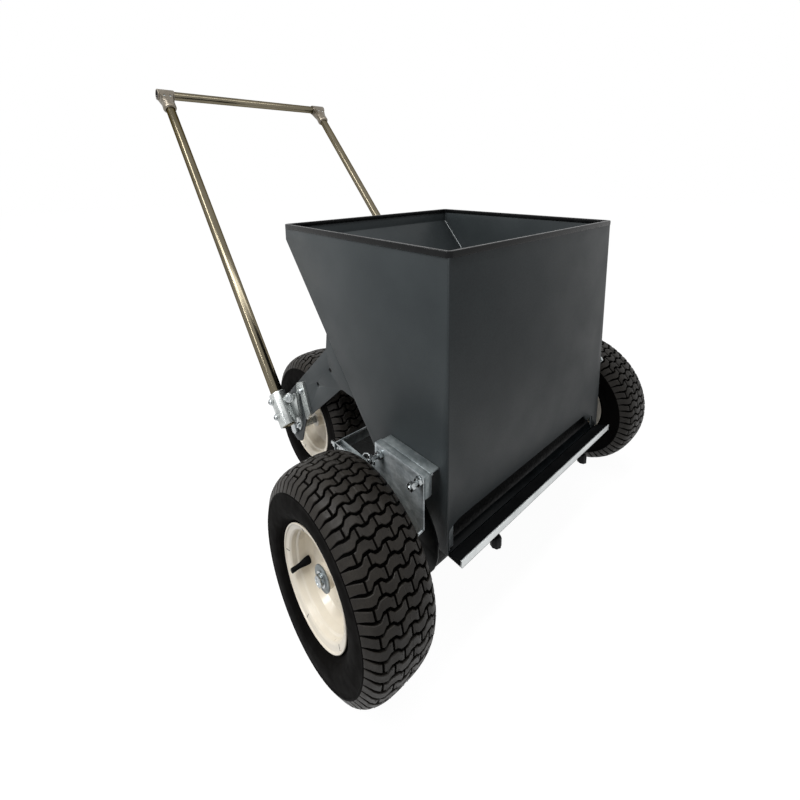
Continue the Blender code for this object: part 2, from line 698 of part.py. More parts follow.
def hull(points):
    """The convex solid round a set of points, as a bmesh."""
    bm = bmesh.new()
    for point in points:
        bm.verts.new(point)
    bmesh.ops.remove_doubles(bm, verts=bm.verts, dist=0.01)
    found = bmesh.ops.convex_hull(bm, input=bm.verts)
    loose = [item for item in found["geom_interior"] if isinstance(item, bmesh.types.BMVert)]
    bmesh.ops.delete(bm, geom=loose, context="VERTS")
    return bm


def bore_stack(low, high, base, direction):
    """A drill for a tube, its flats at the tube's radius plus the running gap."""
    reach = (TUBE_R + GAP) / cos(pi / TUBE_SEGMENTS)
    steps = [(low, "round", reach), (high, "round", reach)]
    return add_stack(bmesh.new(), steps, TUBE_SEGMENTS, base, direction)


def build_handle():
    length, rise = leg_direction()
    down = tuple(-v for v in rise)
    pivot = (0.0, LEG_FOOT[0], LEG_FOOT[1])
    inner_r = TUBE_R - TUBE_WALL
    centre = (0.0, CROSS_Y, CROSS_Z)
    cross = [(-CROSS_HALF, TUBE_R), (CROSS_HALF, TUBE_R), (CROSS_HALF, inner_r), (-CROSS_HALF, inner_r)]
    ring("handle_cross_tube", tube_steel(), cross, TUBE_SEGMENTS, centre, (1, 0, 0), pivot, inside=False)
    leg_start = 4.0
    leg_end = length - TUBE_R - 0.8
    leg = [(leg_start, TUBE_R), (leg_end, TUBE_R), (leg_end, inner_r), (leg_start, inner_r)]
    plug_r = inner_r - 0.5
    cap_face = CROSS_HALF + GAP
    cap = [(CROSS_HALF - 10.0, "round", plug_r), (cap_face, "round", plug_r),
           (cap_face, "round", TUBE_R - GAP), (cap_face + 3.2, "round", TUBE_R - GAP)]
    for side, sign in SIDES:
        x = sign * LEG_X
        ring(f"handle_leg_{side}", tube_steel(), leg, TUBE_SEGMENTS, on_leg(0.0, x), rise, pivot,
             inside=False)
        stack(f"end_cap_{side}", black_plastic(), cap, 20, centre, (sign, 0, 0), pivot=pivot)

        # Cast corner fitting: its sleeve runs out smoothly into the collar round the leg.
        top = (x, CROSS_Y, CROSS_Z)
        outline = []
        for end in (x - TEE_HALF, x + TEE_HALF):
            outline += ring_points((end, CROSS_Y, CROSS_Z), (1, 0, 0), TEE_R)
        outline += ring_points(on_leg(length - COLLAR_END, x), rise, COLLAR_R)
        through = bore_stack(x - 2 * TEE_HALF, x + 2 * TEE_HALF, centre, (1, 0, 0))
        blind = bore_stack(2.0, COLLAR_END + 8.0, top, down)
        combine(f"tee_fitting_{side}", cast(), [hull(outline)], [through, blind], pivot, 35)
        build_clamp(side, sign)


def build_clamp(side, sign):
    """Foot clamp: a sleeve round the leg that runs out into a narrow foot, and the palm bolted to the arm."""
    rise = leg_direction()[1]
    x = sign * LEG_X
    length = SLEEVE_END - SLEEVE_START
    sleeve = add_stack(bmesh.new(), [(0.0, "round", SLEEVE_R), (length, "round", SLEEVE_R)], TUBE_SEGMENTS,
                       on_leg(SLEEVE_START, x), rise)
    foot = [(572.0, 250.0), (600.0, 319.0), (628.0, 300.0), (600.0, 236.0)]
    points = []
    for station in (NECK_START, NECK_END):
        points += ring_points(on_leg(station, x), rise, SLEEVE_R - 1.0)
    for face in (NECK_FACE, NECK_FACE + 4.0):
        points += [Vector((sign * face, y, z)) for y, z in foot]
    pad = [(582.0, 262.0), (600.0, 304.0), (616.0, 294.0), (600.0, 254.0)]
    joint = add_prism(bmesh.new(), "x", *sorted((sign * (PALM_OUT + GAP), sign * (NECK_FACE + 2.0))), pad)
    cut = bore_stack(-30.0, length + 40.0, on_leg(SLEEVE_START, x), rise)
    combine(f"clamp_sleeve_{side}", cast(), [sleeve, hull(points), joint], [cut], (0.0, Y_MID, 0.0), 35)

    palm = [(574.0, 354.0), (540.0, 370.0), (502.0, 290.0), (518.0, 262.0), (552.0, 238.0)]
    palm += arc(PALM_BOLT, PALM_LOBE_R, -160.0, 0.0, 9)
    prism(f"clamp_flange_{side}", cast(), "x", sign * (HALF_WIDTH + GAP), sign * PALM_OUT, palm)


def main():
    clear_scene()
    build_hopper()
    build_gate()
    build_apron()
    build_drive()
    for side, sign in SIDES:
        build_bracket(side, sign)
    build_wheels()
    build_rear_arms()
    build_handle()


main()
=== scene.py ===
"""Looks of the push-along lawn topdresser: finishes, turf tread, fittings, light and camera."""

import json
from math import atan2, cos, degrees, pi, radians, sin
from types import SimpleNamespace

import bmesh
import bpy
from mathutils import Matrix, Vector
from mathutils.geometry import tessellate_polygon


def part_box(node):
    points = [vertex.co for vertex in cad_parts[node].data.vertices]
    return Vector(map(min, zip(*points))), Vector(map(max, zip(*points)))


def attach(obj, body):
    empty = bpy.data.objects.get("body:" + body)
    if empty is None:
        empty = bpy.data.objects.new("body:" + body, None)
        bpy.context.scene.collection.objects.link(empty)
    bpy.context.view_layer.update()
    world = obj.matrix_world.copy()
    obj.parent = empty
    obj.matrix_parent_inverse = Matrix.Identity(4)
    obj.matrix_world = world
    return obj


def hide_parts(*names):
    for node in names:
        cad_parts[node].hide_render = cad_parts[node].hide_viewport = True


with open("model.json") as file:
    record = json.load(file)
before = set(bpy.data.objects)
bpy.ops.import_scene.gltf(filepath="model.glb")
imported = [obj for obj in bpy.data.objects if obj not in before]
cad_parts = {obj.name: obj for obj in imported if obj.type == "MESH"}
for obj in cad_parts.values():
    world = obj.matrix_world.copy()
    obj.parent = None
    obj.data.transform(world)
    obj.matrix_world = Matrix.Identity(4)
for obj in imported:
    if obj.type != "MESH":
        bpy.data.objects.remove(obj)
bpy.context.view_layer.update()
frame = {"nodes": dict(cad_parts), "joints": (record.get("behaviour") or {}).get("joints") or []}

MM = 0.001
SIDES = (("left", -1), ("right", 1))

# Machine frame: x as in the row, y backwards from the front panel's outer face, z up, millimetres.
FRONT_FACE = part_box("front_panel")[0].y


def row(point):
    """Machine millimetres to row metres."""
    return Vector((point[0] * MM, FRONT_FACE + point[1] * MM, point[2] * MM))


def corners(node):
    """Lowest and highest corner of a CAD node in machine millimetres."""
    return [Vector((p.x / MM, (p.y - FRONT_FACE) / MM, p.z / MM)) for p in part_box(node)]


def middle(node):
    low, high = corners(node)
    return (low + high) / 2


def joint_axis(name):
    """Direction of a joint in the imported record."""
    return Vector(next(joint["axis"] for joint in frame["joints"] if joint["name"] == name)).normalized()


# Colours and the node helper

def linear(code):
    """An sRGB hex colour as linear RGBA."""
    channels = [int(code[i:i + 2], 16) / 255 for i in (1, 3, 5)]
    return (*[c / 12.92 if c <= 0.04045 else ((c + 0.055) / 1.055) ** 2.4 for c in channels], 1.0)


def per_mm(size):
    """Texture scale on metre coordinates for a feature of this size in millimetres."""
    return 1.0 / (size * MM)


def add_node(tree, kind, settings=None, links=None, stops=()):
    """Adds a node with its settings, links and colour stops; a node linked as such gives its first output."""
    node = tree.nodes.new(kind)
    for key, value in (settings or {}).items():
        if isinstance(key, int) or key in node.inputs:
            node.inputs[key].default_value = value
        else:
            setattr(node, key, value)
    for key, source in (links or {}).items():
        tree.links.new(source.outputs[0] if isinstance(source, bpy.types.Node) else source, node.inputs[key])
    for index, (position, code) in enumerate(stops):
        element = node.color_ramp.elements[index]
        element.position = position
        element.color = linear(code)
    return node


def finish_base(name, settings, tone, gloss, skin, longer=(1.0, 1.0, 1.0), turn=(0.0, 0.0, 0.0)):
    """
    The ground of a finish. Tone is two colours and gloss is the least and most roughness, each with
    the millimetres that it wanders over, and skin is a relief's size and depth in millimetres. Gloss
    and skin may be drawn out longer along an axis, as brushing is.
    """
    material = bpy.data.materials.new(name)
    material.use_nodes = True
    tree = material.node_tree
    shader = tree.nodes["Principled BSDF"]
    for key, value in settings.items():
        shader.inputs[key].default_value = value
    place = add_node(tree, "ShaderNodeTexCoord").outputs["Object"]
    drawn = add_node(tree, "ShaderNodeMapping", {"vector_type": "TEXTURE", "Scale": longer, "Rotation": turn},
                     {"Vector": place})
    mottle = add_node(tree, "ShaderNodeTexNoise", {"Scale": per_mm(tone[2]), "Detail": 4.0, "Roughness": 0.6},
                      {"Vector": place})
    colour = add_node(tree, "ShaderNodeValToRGB", None, {"Fac": mottle},
                      ((0.32, tone[0]), (0.68, tone[1]))).outputs["Color"]
    tree.links.new(colour, shader.inputs["Base Color"])
    wander = add_node(tree, "ShaderNodeTexNoise", {"Scale": per_mm(gloss[2]), "Detail": 3.0},
                      {"Vector": drawn})
    rough = add_node(tree, "ShaderNodeMapRange",
                     {"From Min": 0.3, "From Max": 0.7, "To Min": gloss[0], "To Max": gloss[1]},
                     {"Value": wander})
    tree.links.new(rough.outputs["Result"], shader.inputs["Roughness"])
    grain = add_node(tree, "ShaderNodeTexNoise", {"Scale": per_mm(skin[0]), "Detail": 3.0}, {"Vector": drawn})
    relief = add_node(tree, "ShaderNodeBump", {"Distance": skin[1] * MM}, {"Height": grain})
    tree.links.new(relief.outputs["Normal"], shader.inputs["Normal"])
    return SimpleNamespace(material=material, tree=tree, shader=shader, place=place, drawn=drawn,
                           tone=colour, skin=grain, relief=relief)


def lay_over(base, share, pattern, stops):
    """Multiplies the tone of a finish by a pattern coloured by stops, by a share."""
    layer = add_node(base.tree, "ShaderNodeValToRGB", None, {"Fac": pattern}, stops)
    both = add_node(base.tree, "ShaderNodeMix", {"data_type": "RGBA", "blend_type": "MULTIPLY", 0: share},
                    {6: base.tone, 7: layer}).outputs[2]
    base.tree.links.new(both, base.shader.inputs["Base Color"])
    base.tone = both


# Materials

def anthracite_powder_coat():
    """
    Polyester powder coat on sheet steel: satin and even, with an orange-peel skin and a fine grit,
    which is drawn coarser than it is so that it shows.
    """
    base = finish_base("anthracite_powder_coat", {"Specular IOR Level": 0.16},
                       tone=("#353A3C", "#3D4244", 190.0), gloss=(0.36, 0.46, 80.0), skin=(2.4, 0.05))
    grit = add_node(base.tree, "ShaderNodeTexNoise", {"Scale": per_mm(1.7), "Detail": 2.0},
                    {"Vector": base.place})
    lay_over(base, 0.45, grit, ((0.35, "#C6C6C6"), (0.65, "#FFFFFF")))
    return base.material


def zinc_plated_sheet(name, dark, light):
    """Zinc-plated steel sheet: cloudy grey, faint crystals, and rubbed streaks from handling."""
    base = finish_base(name, {"Metallic": 0.55}, tone=(dark, light, 46.0), gloss=(0.3, 0.46, 9.0),
                       skin=(5.0, 0.05), longer=(1.0, 6.0, 1.0))
    crystals = add_node(base.tree, "ShaderNodeTexVoronoi", {"Scale": per_mm(8.0)}, {"Vector": base.place})
    lay_over(base, 0.5, crystals.outputs["Color"], ((0.15, "#B9BFC2"), (0.85, "#FFFFFF")))
    streaks = add_node(base.tree, "ShaderNodeTexNoise",
                       {"Scale": per_mm(14.0), "Detail": 5.0, "Roughness": 0.7}, {"Vector": base.drawn})
    lay_over(base, 0.45, streaks, ((0.36, "#9AA1A4"), (0.62, "#FFFFFF")))
    return base.material


def brushed_stainless_tube(name, turn, longer):
    """
    Stainless tube, brushed lengthwise to a warm olive grey. The brushing's lines are drawn about a
    millimetre wide, coarser than they are, so that they show.
    """
    base = finish_base(name, {"Metallic": 1.0, "Specular Tint": linear("#8A8474")},
                       tone=("#6B6556", "#787161", 140.0), gloss=(0.17, 0.21, 1.6), skin=(1.1, 0.001),
                       longer=longer, turn=turn)
    lay_over(base, 0.25, base.skin, ((0.3, "#D6D3CA"), (0.7, "#FFFFFF")))
    return base.material


def galvanised_casting(name, tone, gloss):
    """Galvanised malleable iron: sandy cast skin, satin, darker in its pores."""
    base = finish_base(name, {"Metallic": 0.9}, tone, gloss, skin=(2.2, 0.02))
    lay_over(base, 0.25, base.skin, ((0.3, "#B4B1AC"), (0.55, "#FFFFFF")))
    return base.material


def tread_rubber():
    """Turf tyre compound: brown-grey and dusty where the lugs' faces are worn, and darkened down the lugs'
    walls towards the grooves by painted shade.
    """
    base = finish_base("turf_tread_rubber", {"Specular IOR Level": 0.22}, tone=("#1D1A17", "#2B2824", 26.0),
                       gloss=(0.42, 0.58, 9.0), skin=(1.3, 0.12))
    dust = add_node(base.tree, "ShaderNodeTexNoise", {"Scale": per_mm(2.0), "Detail": 3.0},
                    {"Vector": base.place})
    lay_over(base, 0.5, dust, ((0.4, "#BDB6AC"), (0.62, "#FFFFFF")))
    # Wear and painted shade: worn faces keep the dusty tone, and the walls darken towards their feet as
    # painted shade in the grooves.
    worn_and_shaded = add_node(base.tree, "ShaderNodeAttribute", {"attribute_name": "wear_and_groove_shade"})
    lay_over(base, 1.0, worn_and_shaded.outputs["Fac"], ((0.3, "#2B2826"), (0.9, "#FFFFFF")))
    return base.material


def black_rubber(name, level, gloss):
    """Extruded black rubber: the edge trim has a slight shine, the apron and valve stems are matt."""
    return finish_base(name, {"Specular IOR Level": level}, tone=("#08090A", "#101112", 30.0), gloss=gloss,
                       skin=(1.1, 0.03)).material


def rough_top_belting():
    """Conveyor belt with a rough top: small rounded pips about 6 mm apart in black rubber."""
    base = finish_base("rough_top_belting", {"Specular IOR Level": 0.08}, tone=("#0B0C0C", "#141515", 60.0),
                       gloss=(0.55, 0.7, 20.0), skin=(1.5, 0.1))
    pips = add_node(base.tree, "ShaderNodeTexVoronoi", {"Scale": per_mm(6.0), "feature": "SMOOTH_F1"},
                    {"Vector": base.place})
    height = add_node(base.tree, "ShaderNodeMath", {"operation": "SUBTRACT", 0: 1.0}, {1: pips})
    dome = add_node(base.tree, "ShaderNodeBump", {"Distance": 1.2 * MM},
                    {"Height": height, "Normal": base.relief})
    base.tree.links.new(dome.outputs["Normal"], base.shader.inputs["Normal"])
    return base.material


LEG_RISE = joint_axis("handle_slide")
LEG_ANGLE = atan2(LEG_RISE.z, LEG_RISE.y)
COAT = anthracite_powder_coat()
ZINC = zinc_plated_sheet("zinc_plated_sheet", "#B2BABD", "#D8DDDF")
# Duller zinc on the angles, spacer bars and hub washers; on the tension frame its darker tone also paints the
# shade inside the frame.
DULL_AND_SHADED_ZINC = zinc_plated_sheet("dull_and_shaded_zinc", "#747C7E", "#A6ADAE")
# Bright zinc plate on bolts and nuts: bluish white and fairly smooth.
FASTENER = finish_base("bright_zinc_fastener", {"Metallic": 1.0}, tone=("#8C9294", "#C6CACB", 5.0),
                       gloss=(0.16, 0.32, 3.0), skin=(1.2, 0.02)).material
LEG_TUBE = brushed_stainless_tube("brushed_stainless_leg", (LEG_ANGLE, 0.0, 0.0), (1.0, 60.0, 1.0))
CROSS_TUBE = brushed_stainless_tube("brushed_stainless_grip", (0.0, 0.0, 0.0), (60.0, 1.0, 1.0))
TEE_CASTING = galvanised_casting("satin_tee_casting", ("#716A5F", "#837C71", 16.0), (0.3, 0.4, 5.0))
CLAMP_CASTING = galvanised_casting("bright_clamp_casting", ("#A6AAAA", "#CCD0CE", 16.0), (0.24, 0.34, 5.0))
TREAD = tread_rubber()
# Moulded black rubber of the carcass and sidewall, smoother and blacker than the tread.
SIDEWALL = finish_base("moulded_sidewall_rubber", {"Specular IOR Level": 0.02},
                       tone=("#060505", "#0E0D0C", 40.0), gloss=(0.6, 0.74, 16.0), skin=(1.4, 0.06)).material
# Gloss enamel on pressed steel rims: warm cream under a clear skin, slightly wavy.
CREAM = finish_base("cream_wheel_enamel", {"Coat Weight": 0.3, "Coat Roughness": 0.12},
                    tone=("#DED5C4", "#EAE2D2", 90.0), gloss=(0.26, 0.38, 30.0), skin=(8.0, 0.06)).material
EDGE_RUBBER = black_rubber("shiny_edge_rubber", 0.16, (0.22, 0.34, 12.0))
MATT_RUBBER = black_rubber("matt_apron_rubber", 0.05, (0.6, 0.75, 12.0))
# Moulded nylon of knobs and caps: spark-eroded grain, drawn coarse enough to show.
NYLON = finish_base("moulded_black_nylon", {"Specular IOR Level": 0.14}, tone=("#0C0C0E", "#161618", 12.0),
                    gloss=(0.38, 0.5, 8.0), skin=(0.8, 0.05)).material
BELTING = rough_top_belting()
# Dark semi-gloss enamel on the gate, tray, drum and roller; on the tray its near-black partly paints the
# shade the tray lies in.
ENAMEL = finish_base("dark_machine_enamel", {"Specular IOR Level": 0.1}, tone=("#080B0D", "#0F1315", 50.0),
                     gloss=(0.3, 0.45, 25.0), skin=(3.0, 0.03)).material
# Mill-finish aluminium strip: pale, with rolling lines along its length.
ALUMINIUM = finish_base("mill_finish_aluminium", {"Metallic": 1.0}, tone=("#BCC0C0", "#D2D5D5", 60.0),
                        gloss=(0.32, 0.46, 1.2), skin=(0.8, 0.02), longer=(80.0, 1.0, 1.0)).material
# Pale finish on the beads in the hopper's inside corners, which paints the bright reflection along the joint.
SEAM_HIGHLIGHT = finish_base("pale_seam_highlight", {}, tone=("#8C9294", "#B4B9BA", 22.0), gloss=(0.4, 0.55, 8.0),
                     skin=(2.0, 0.1)).material


# Mesh helpers, all in machine millimetres until a piece is finished

# Degrees: a corner left as it is, an edge that is rounded off, and neighbours that count as one face.
NEARLY_STRAIGHT = 172.0
BROKEN_EDGE = 38.0
SAME_FACE = 0.6
# The share of an edge that one rounded corner may take.
EDGE_SHARE = 0.45


def linked(name, data):
    """A new object in the scene."""
    obj = bpy.data.objects.new(name, data)
    bpy.context.scene.collection.objects.link(obj)
    return obj


def finish_mesh(name, mesh, material, body, hides=(), smooth=35.0):
    """Make a shown piece of a finished mesh and ride it on its body."""
    mesh.materials.clear()
    mesh.materials.append(material)
    mesh.shade_smooth()
    mesh.set_sharp_from_angle(angle=radians(smooth))
    shown = linked(name, mesh)
    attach(shown, body)
    if hides:
        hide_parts(*hides)


def to_mesh(name, bm):
    mesh = bpy.data.meshes.new(name)
    bm.to_mesh(mesh)
    bm.free()
    return mesh


def finish_piece(name, bm, material, body="machine", hides=(), smooth=35.0):
    """Merge a bmesh in machine millimetres, turn its faces outwards and finish it."""
    bmesh.ops.remove_doubles(bm, verts=bm.verts, dist=0.002)
    bmesh.ops.recalc_face_normals(bm, faces=bm.faces)
    for vert in bm.verts:
        vert.co = row(vert.co)
    finish_mesh(name, to_mesh(name, bm), material, body, hides, smooth)


def bridge(bm, here, after, closed=True):
    """Faces between two rings of the same length."""
    size = len(here)
    for j in range(size if closed else size - 1):
        k = (j + 1) % size
        bm.faces.new((here[j], here[k], after[k], after[j]))


def loft(bm, rings):
    """A closed body through rings of the same length."""
    rows = [[bm.verts.new(point) for point in ring] for ring in rings]
    for here, after in zip(rows, rows[1:]):
        bridge(bm, here, after)
    bm.faces.new(rows[0])
    bm.faces.new(rows[-1])
    return bm


def rounded(points, radius, steps=3):
    """Rounds the corners of a closed outline with arcs no larger than its edges allow."""
    result = []
    count = len(points)
    for i, point in enumerate(points):
        here = Vector(point)
        back = Vector(points[i - 1]) - here
        ahead = Vector(points[(i + 1) % count]) - here
        angle = back.angle(ahead)
        if angle > radians(NEARLY_STRAIGHT):
            result.append(tuple(point))
            continue
        reach = radius * cos(angle / 2) / max(0.05, sin(angle / 2))
        cut = min(reach, EDGE_SHARE * min(back.length, ahead.length))
        start = here + back.normalized() * cut
        end = here + ahead.normalized() * cut
        for k in range(steps + 1):
            t = k / steps
            result.append(tuple(start * (1 - t) ** 2 + here * 2 * t * (1 - t) + end * t * t))
    return result


def axis_turn(direction):
    """Turns local Z on to a direction."""
    return Vector(direction).normalized().to_track_quat("Z", "Y").to_matrix()


def spoke(i, count, radius, station=0.0):
    """The i-th of count points on a circle about Z."""
    angle = 2 * pi * i / count
    return Vector((radius * cos(angle), radius * sin(angle), station))


def turned(bm, profile, count, base, direction=(1, 0, 0)):
    """Turns a closed (station, radius) profile about the line through base."""
    turn = axis_turn(direction)
    rows = [[bm.verts.new(Vector(base) + turn @ spoke(i, count, r, s)) for s, r in profile]
            for i in range(count)]
    for i in range(count):
        bridge(bm, rows[i], rows[(i + 1) % count])
    return bm


def sectioned(bm, steps, count, base, direction=(1, 0, 0)):
    """A closed stud of round and hexagonal sections: steps of (station, kind, radius)."""
    turn = axis_turn(direction)
    rings = []
    for station, kind, radius in steps:
        ring = []
        for i in range(count):
            reach = radius
            if kind == "hex":
                reach = radius / cos(radians((360.0 * i / count) % 60.0 - 30.0))
            ring.append(Vector(base) + turn @ spoke(i, count, reach, station))
        rings.append(ring)
    return loft(bm, rings)


def rounds(*pairs):
    """Round sections at (station, radius) pairs."""
    return [(station, "round", radius) for station, radius in pairs]


def finish_stud(name, steps, base, direction, material, body="machine", hides=(), smooth=40.0, count=24):
    """A finished piece of one stud of sections."""
    finish_piece(name, sectioned(bmesh.new(), steps, count, base, direction), material, body, hides, smooth)


def finish_ring(name, profile, base, direction, material, body, hides=(), smooth=35.0, count=64):
    """A finished piece of one turned profile."""
    finish_piece(name, turned(bmesh.new(), profile, count, base, direction), material, body, hides, smooth)


def finish_rod(name, points, radius, count, material):
    """A finished round rod on the machine, bent along points."""
    rings = []
    for i, point in enumerate(points):
        turn = axis_turn(Vector(points[min(i + 1, len(points) - 1)]) - Vector(points[max(i - 1, 0)]))
        rings.append([Vector(point) + turn @ spoke(k, count, radius) for k in range(count)])
    finish_piece(name, loft(bmesh.new(), rings), material, smooth=60.0)


def extruded(bm, low, high, outline):
    """A closed prism along x over a (y, z) outline."""
    ends = [[bm.verts.new((x, y, z)) for y, z in outline] for x in (low, high)]
    for tri in tessellate_polygon([[Vector((y, z, 0.0)) for y, z in outline]]):
        bm.faces.new([ends[0][i] for i in tri])
        bm.faces.new([ends[1][i] for i in reversed(tri)])
    bridge(bm, ends[0], ends[1])
    return bm


def applied(obj):
    """The evaluated mesh of an object with its modifiers; the object itself is removed."""
    bpy.context.view_layer.update()
    mesh = bpy.data.meshes.new_from_object(obj.evaluated_get(bpy.context.evaluated_depsgraph_get()))
    bpy.data.objects.remove(obj, do_unlink=True)
    return mesh


def softened(nodes, material, width, body="machine", smooth=35.0, segments=2, fold=None, dimples=None):
    """
    Merged copies of CAD nodes with their sharp edges rounded by width millimetres. Edges that fold
    picks get the larger radius of a bent sheet, and dimples is a bmesh that is cut out first.
    """
    for node in nodes:
        bm = bmesh.new()
        bm.from_mesh(frame["nodes"][node].data)
        bmesh.ops.remove_doubles(bm, verts=bm.verts, dist=1e-6)
        bmesh.ops.dissolve_limit(bm, angle_limit=radians(SAME_FACE), verts=bm.verts, edges=bm.edges)
        if fold:
            bent = [edge for edge in bm.edges if fold(*[vert.co for vert in edge.verts])]
            bmesh.ops.bevel(bm, geom=bent, offset=FOLD_RADIUS * MM, segments=4, profile=0.5, affect="EDGES")
        obj = linked(node + "_soft", to_mesh(node + "_soft", bm))
        if dimples:
            for vert in dimples.verts:
                vert.co = row(vert.co)
            bmesh.ops.recalc_face_normals(dimples, faces=dimples.faces)
            cutter = linked("dimples", to_mesh("dimples", dimples))
            pits = obj.modifiers.new("pits", "BOOLEAN")
            pits.operation = "DIFFERENCE"
            pits.object = cutter
        edge = obj.modifiers.new("edge", "BEVEL")
        edge.width = width * MM
        edge.segments = segments
        edge.limit_method = "ANGLE"
        edge.angle_limit = radians(BROKEN_EDGE)
        mesh = applied(obj)
        if dimples:
            bpy.data.objects.remove(cutter, do_unlink=True)
        finish_mesh(node + "_skin", mesh, material, body, (node,), smooth)


# Repeating by Geometry Nodes

def repeat_tree():
    """Copies of a module, each turned about X and shifted by a fixed step."""
    tree = bpy.data.node_groups.new("repeat_by_step", "GeometryNodeTree")
    tree.is_modifier = True
    for name, kind in (("Module", "Object"), ("Copies", "Int"), ("Turn", "Float"), ("Shift", "Vector"),
                       ("Finish", "Material")):
        tree.interface.new_socket(name=name, in_out="INPUT", socket_type="NodeSocket" + kind)
    tree.interface.new_socket(name="Geometry", in_out="OUTPUT", socket_type="NodeSocketGeometry")
    inputs = add_node(tree, "NodeGroupInput").outputs
    module = add_node(tree, "GeometryNodeObjectInfo", {"As Instance": True}, {"Object": inputs["Module"]})
    line = add_node(tree, "GeometryNodeMeshLine", {"mode": "OFFSET"},
                    {"Count": inputs["Copies"], "Offset": inputs["Shift"]})
    index = add_node(tree, "GeometryNodeInputIndex")
    angle = add_node(tree, "ShaderNodeMath", {"operation": "MULTIPLY"}, {0: index, 1: inputs["Turn"]})
    turn = add_node(tree, "ShaderNodeCombineXYZ", None, {"X": angle})
    copies = add_node(tree, "GeometryNodeInstanceOnPoints", None,
                      {"Points": line, "Instance": module.outputs["Geometry"], "Rotation": turn})
    real = add_node(tree, "GeometryNodeRealizeInstances", None, {"Geometry": copies})
    finish = add_node(tree, "GeometryNodeSetMaterial", None, {"Geometry": real, "Material": inputs["Finish"]})
    add_node(tree, "NodeGroupOutput", None, {"Geometry": finish})
    return tree


REPEAT = repeat_tree()


def repeated(module, copies, turn, shift, material):
    """A plain mesh of the module repeated; module is a bmesh in local millimetres about the X axis."""
    bmesh.ops.recalc_face_normals(module, faces=module.faces)
    bmesh.ops.scale(module, vec=(MM, MM, MM), verts=module.verts)
    source = linked("module", to_mesh("module", module))
    holder = linked("repeat", bpy.data.meshes.new("repeat"))
    step = holder.modifiers.new("repeat", "NODES")
    step.node_group = REPEAT
    sockets = {item.name: item.identifier for item in REPEAT.interface.items_tree if item.in_out == "INPUT"}
    for name, value in (("Module", source), ("Copies", copies), ("Turn", radians(turn)),
                        ("Shift", [v * MM for v in shift]), ("Finish", material)):
        step[sockets[name]] = value
    result = applied(holder)
    bpy.data.objects.remove(source, do_unlink=True)
    return result


def moved(mesh, centre, flip=1):
    """Places a local mesh, mirrored across its own middle plane where flip is -1."""
    mesh.transform(Matrix.Translation(row(centre)) @ Matrix.Diagonal((flip, 1, 1, 1)))
    if flip < 0:
        mesh.flip_normals()
    return mesh


# Wheels

TYRE_SIDES = 120
RIM_SIDES = 96
CROWN_R = 199.6
LUG_PAIRS = 30
LUG_PITCH = 180.0 / LUG_PAIRS
LUG_DEPTH = 8.0
HALF_WIDTH = 77.0
BULGE_R = 146.6
SECTION_POWER = 2.9
SHOULDER = 66.0
WEDGE_END = 75.0
GROOVE_HALF = 0.84
WEDGE_HALF = 0.35
RIB_GAP = 1.9
LUG_CHAMFER = 1.0
MOULD_LINE = 0.4
# Stations of the mould line's crown and foot.
MOULD_CROWN = 0.6
MOULD_FOOT = 1.3
RIM_NOTCHES = 5
AXLE_PLAY = 0.3
REAR_BORE = 10.3
# How many degrees a cross groove has wandered at stations out from the middle.
ZIGZAG = ((0.0, -0.1), (6.5, 0.0), (12.0, 1.35), (18.0, 1.5), (24.5, 1.3), (30.5, -0.4), (36.5, -0.5),
          (43.0, -0.3), (49.0, 1.7), (55.0, 1.8), (60.0, 1.5), (SHOULDER, 0.7), (WEDGE_END, 0.4))
# Longest and least stretch between a lug's stations, and how far its foot sinks into the carcass.
LUG_STEP = 8.0
LEAST_STEP = 0.5
LUG_SINK = 0.8
# Degrees that a lug's foot is wider than its face on each side.
LUG_DRAFT = 0.14
# Share of the worn tone at a lug's edge, where its face has 1 and its foot 0; below 1 the wall is darkened by
# painted groove shade.
EDGE_WEAR_AND_SHADE = 0.75
WEDGE_DEPTH = 0.6
# Height over the lug's face, and radius, of a vent nub's foot and tip.
NUB_RINGS = ((-0.3, 0.9), (0.35, 0.7))
NUB_SIDES = 5
# A nub's distance from its lug's end, and the last station that has one.
NUB_INSET = 6.0
NUB_LIMIT = 63.0
NUB_WEAR = 0.4


def groove_offset(s):
    """How far, in degrees, a cross groove has wandered at station s across the tread."""
    a = min(abs(s), WEDGE_END)
    for (s0, v0), (s1, v1) in zip(ZIGZAG, ZIGZAG[1:]):
        if a <= s1:
            return v0 + (v1 - v0) * (a - s0) / (s1 - s0)
    return ZIGZAG[-1][1]


def tread_radius(s):
    """Radius of the lugs' faces across the tread: a rounded section that is widest at the walls' bulge."""
    reach = min(1.0, abs(s) / HALF_WIDTH)
    return BULGE_R + (CROWN_R - BULGE_R) * (1.0 - reach ** SECTION_POWER) ** (1.0 / SECTION_POWER)


def lug_depth(s):
    """Radial depth of the grooves, which run out where the wedges end."""
    a = abs(s)
    if a <= SHOULDER:
        return LUG_DEPTH
    return WEDGE_DEPTH + (LUG_DEPTH - WEDGE_DEPTH) * (WEDGE_END - a) / (WEDGE_END - SHOULDER)


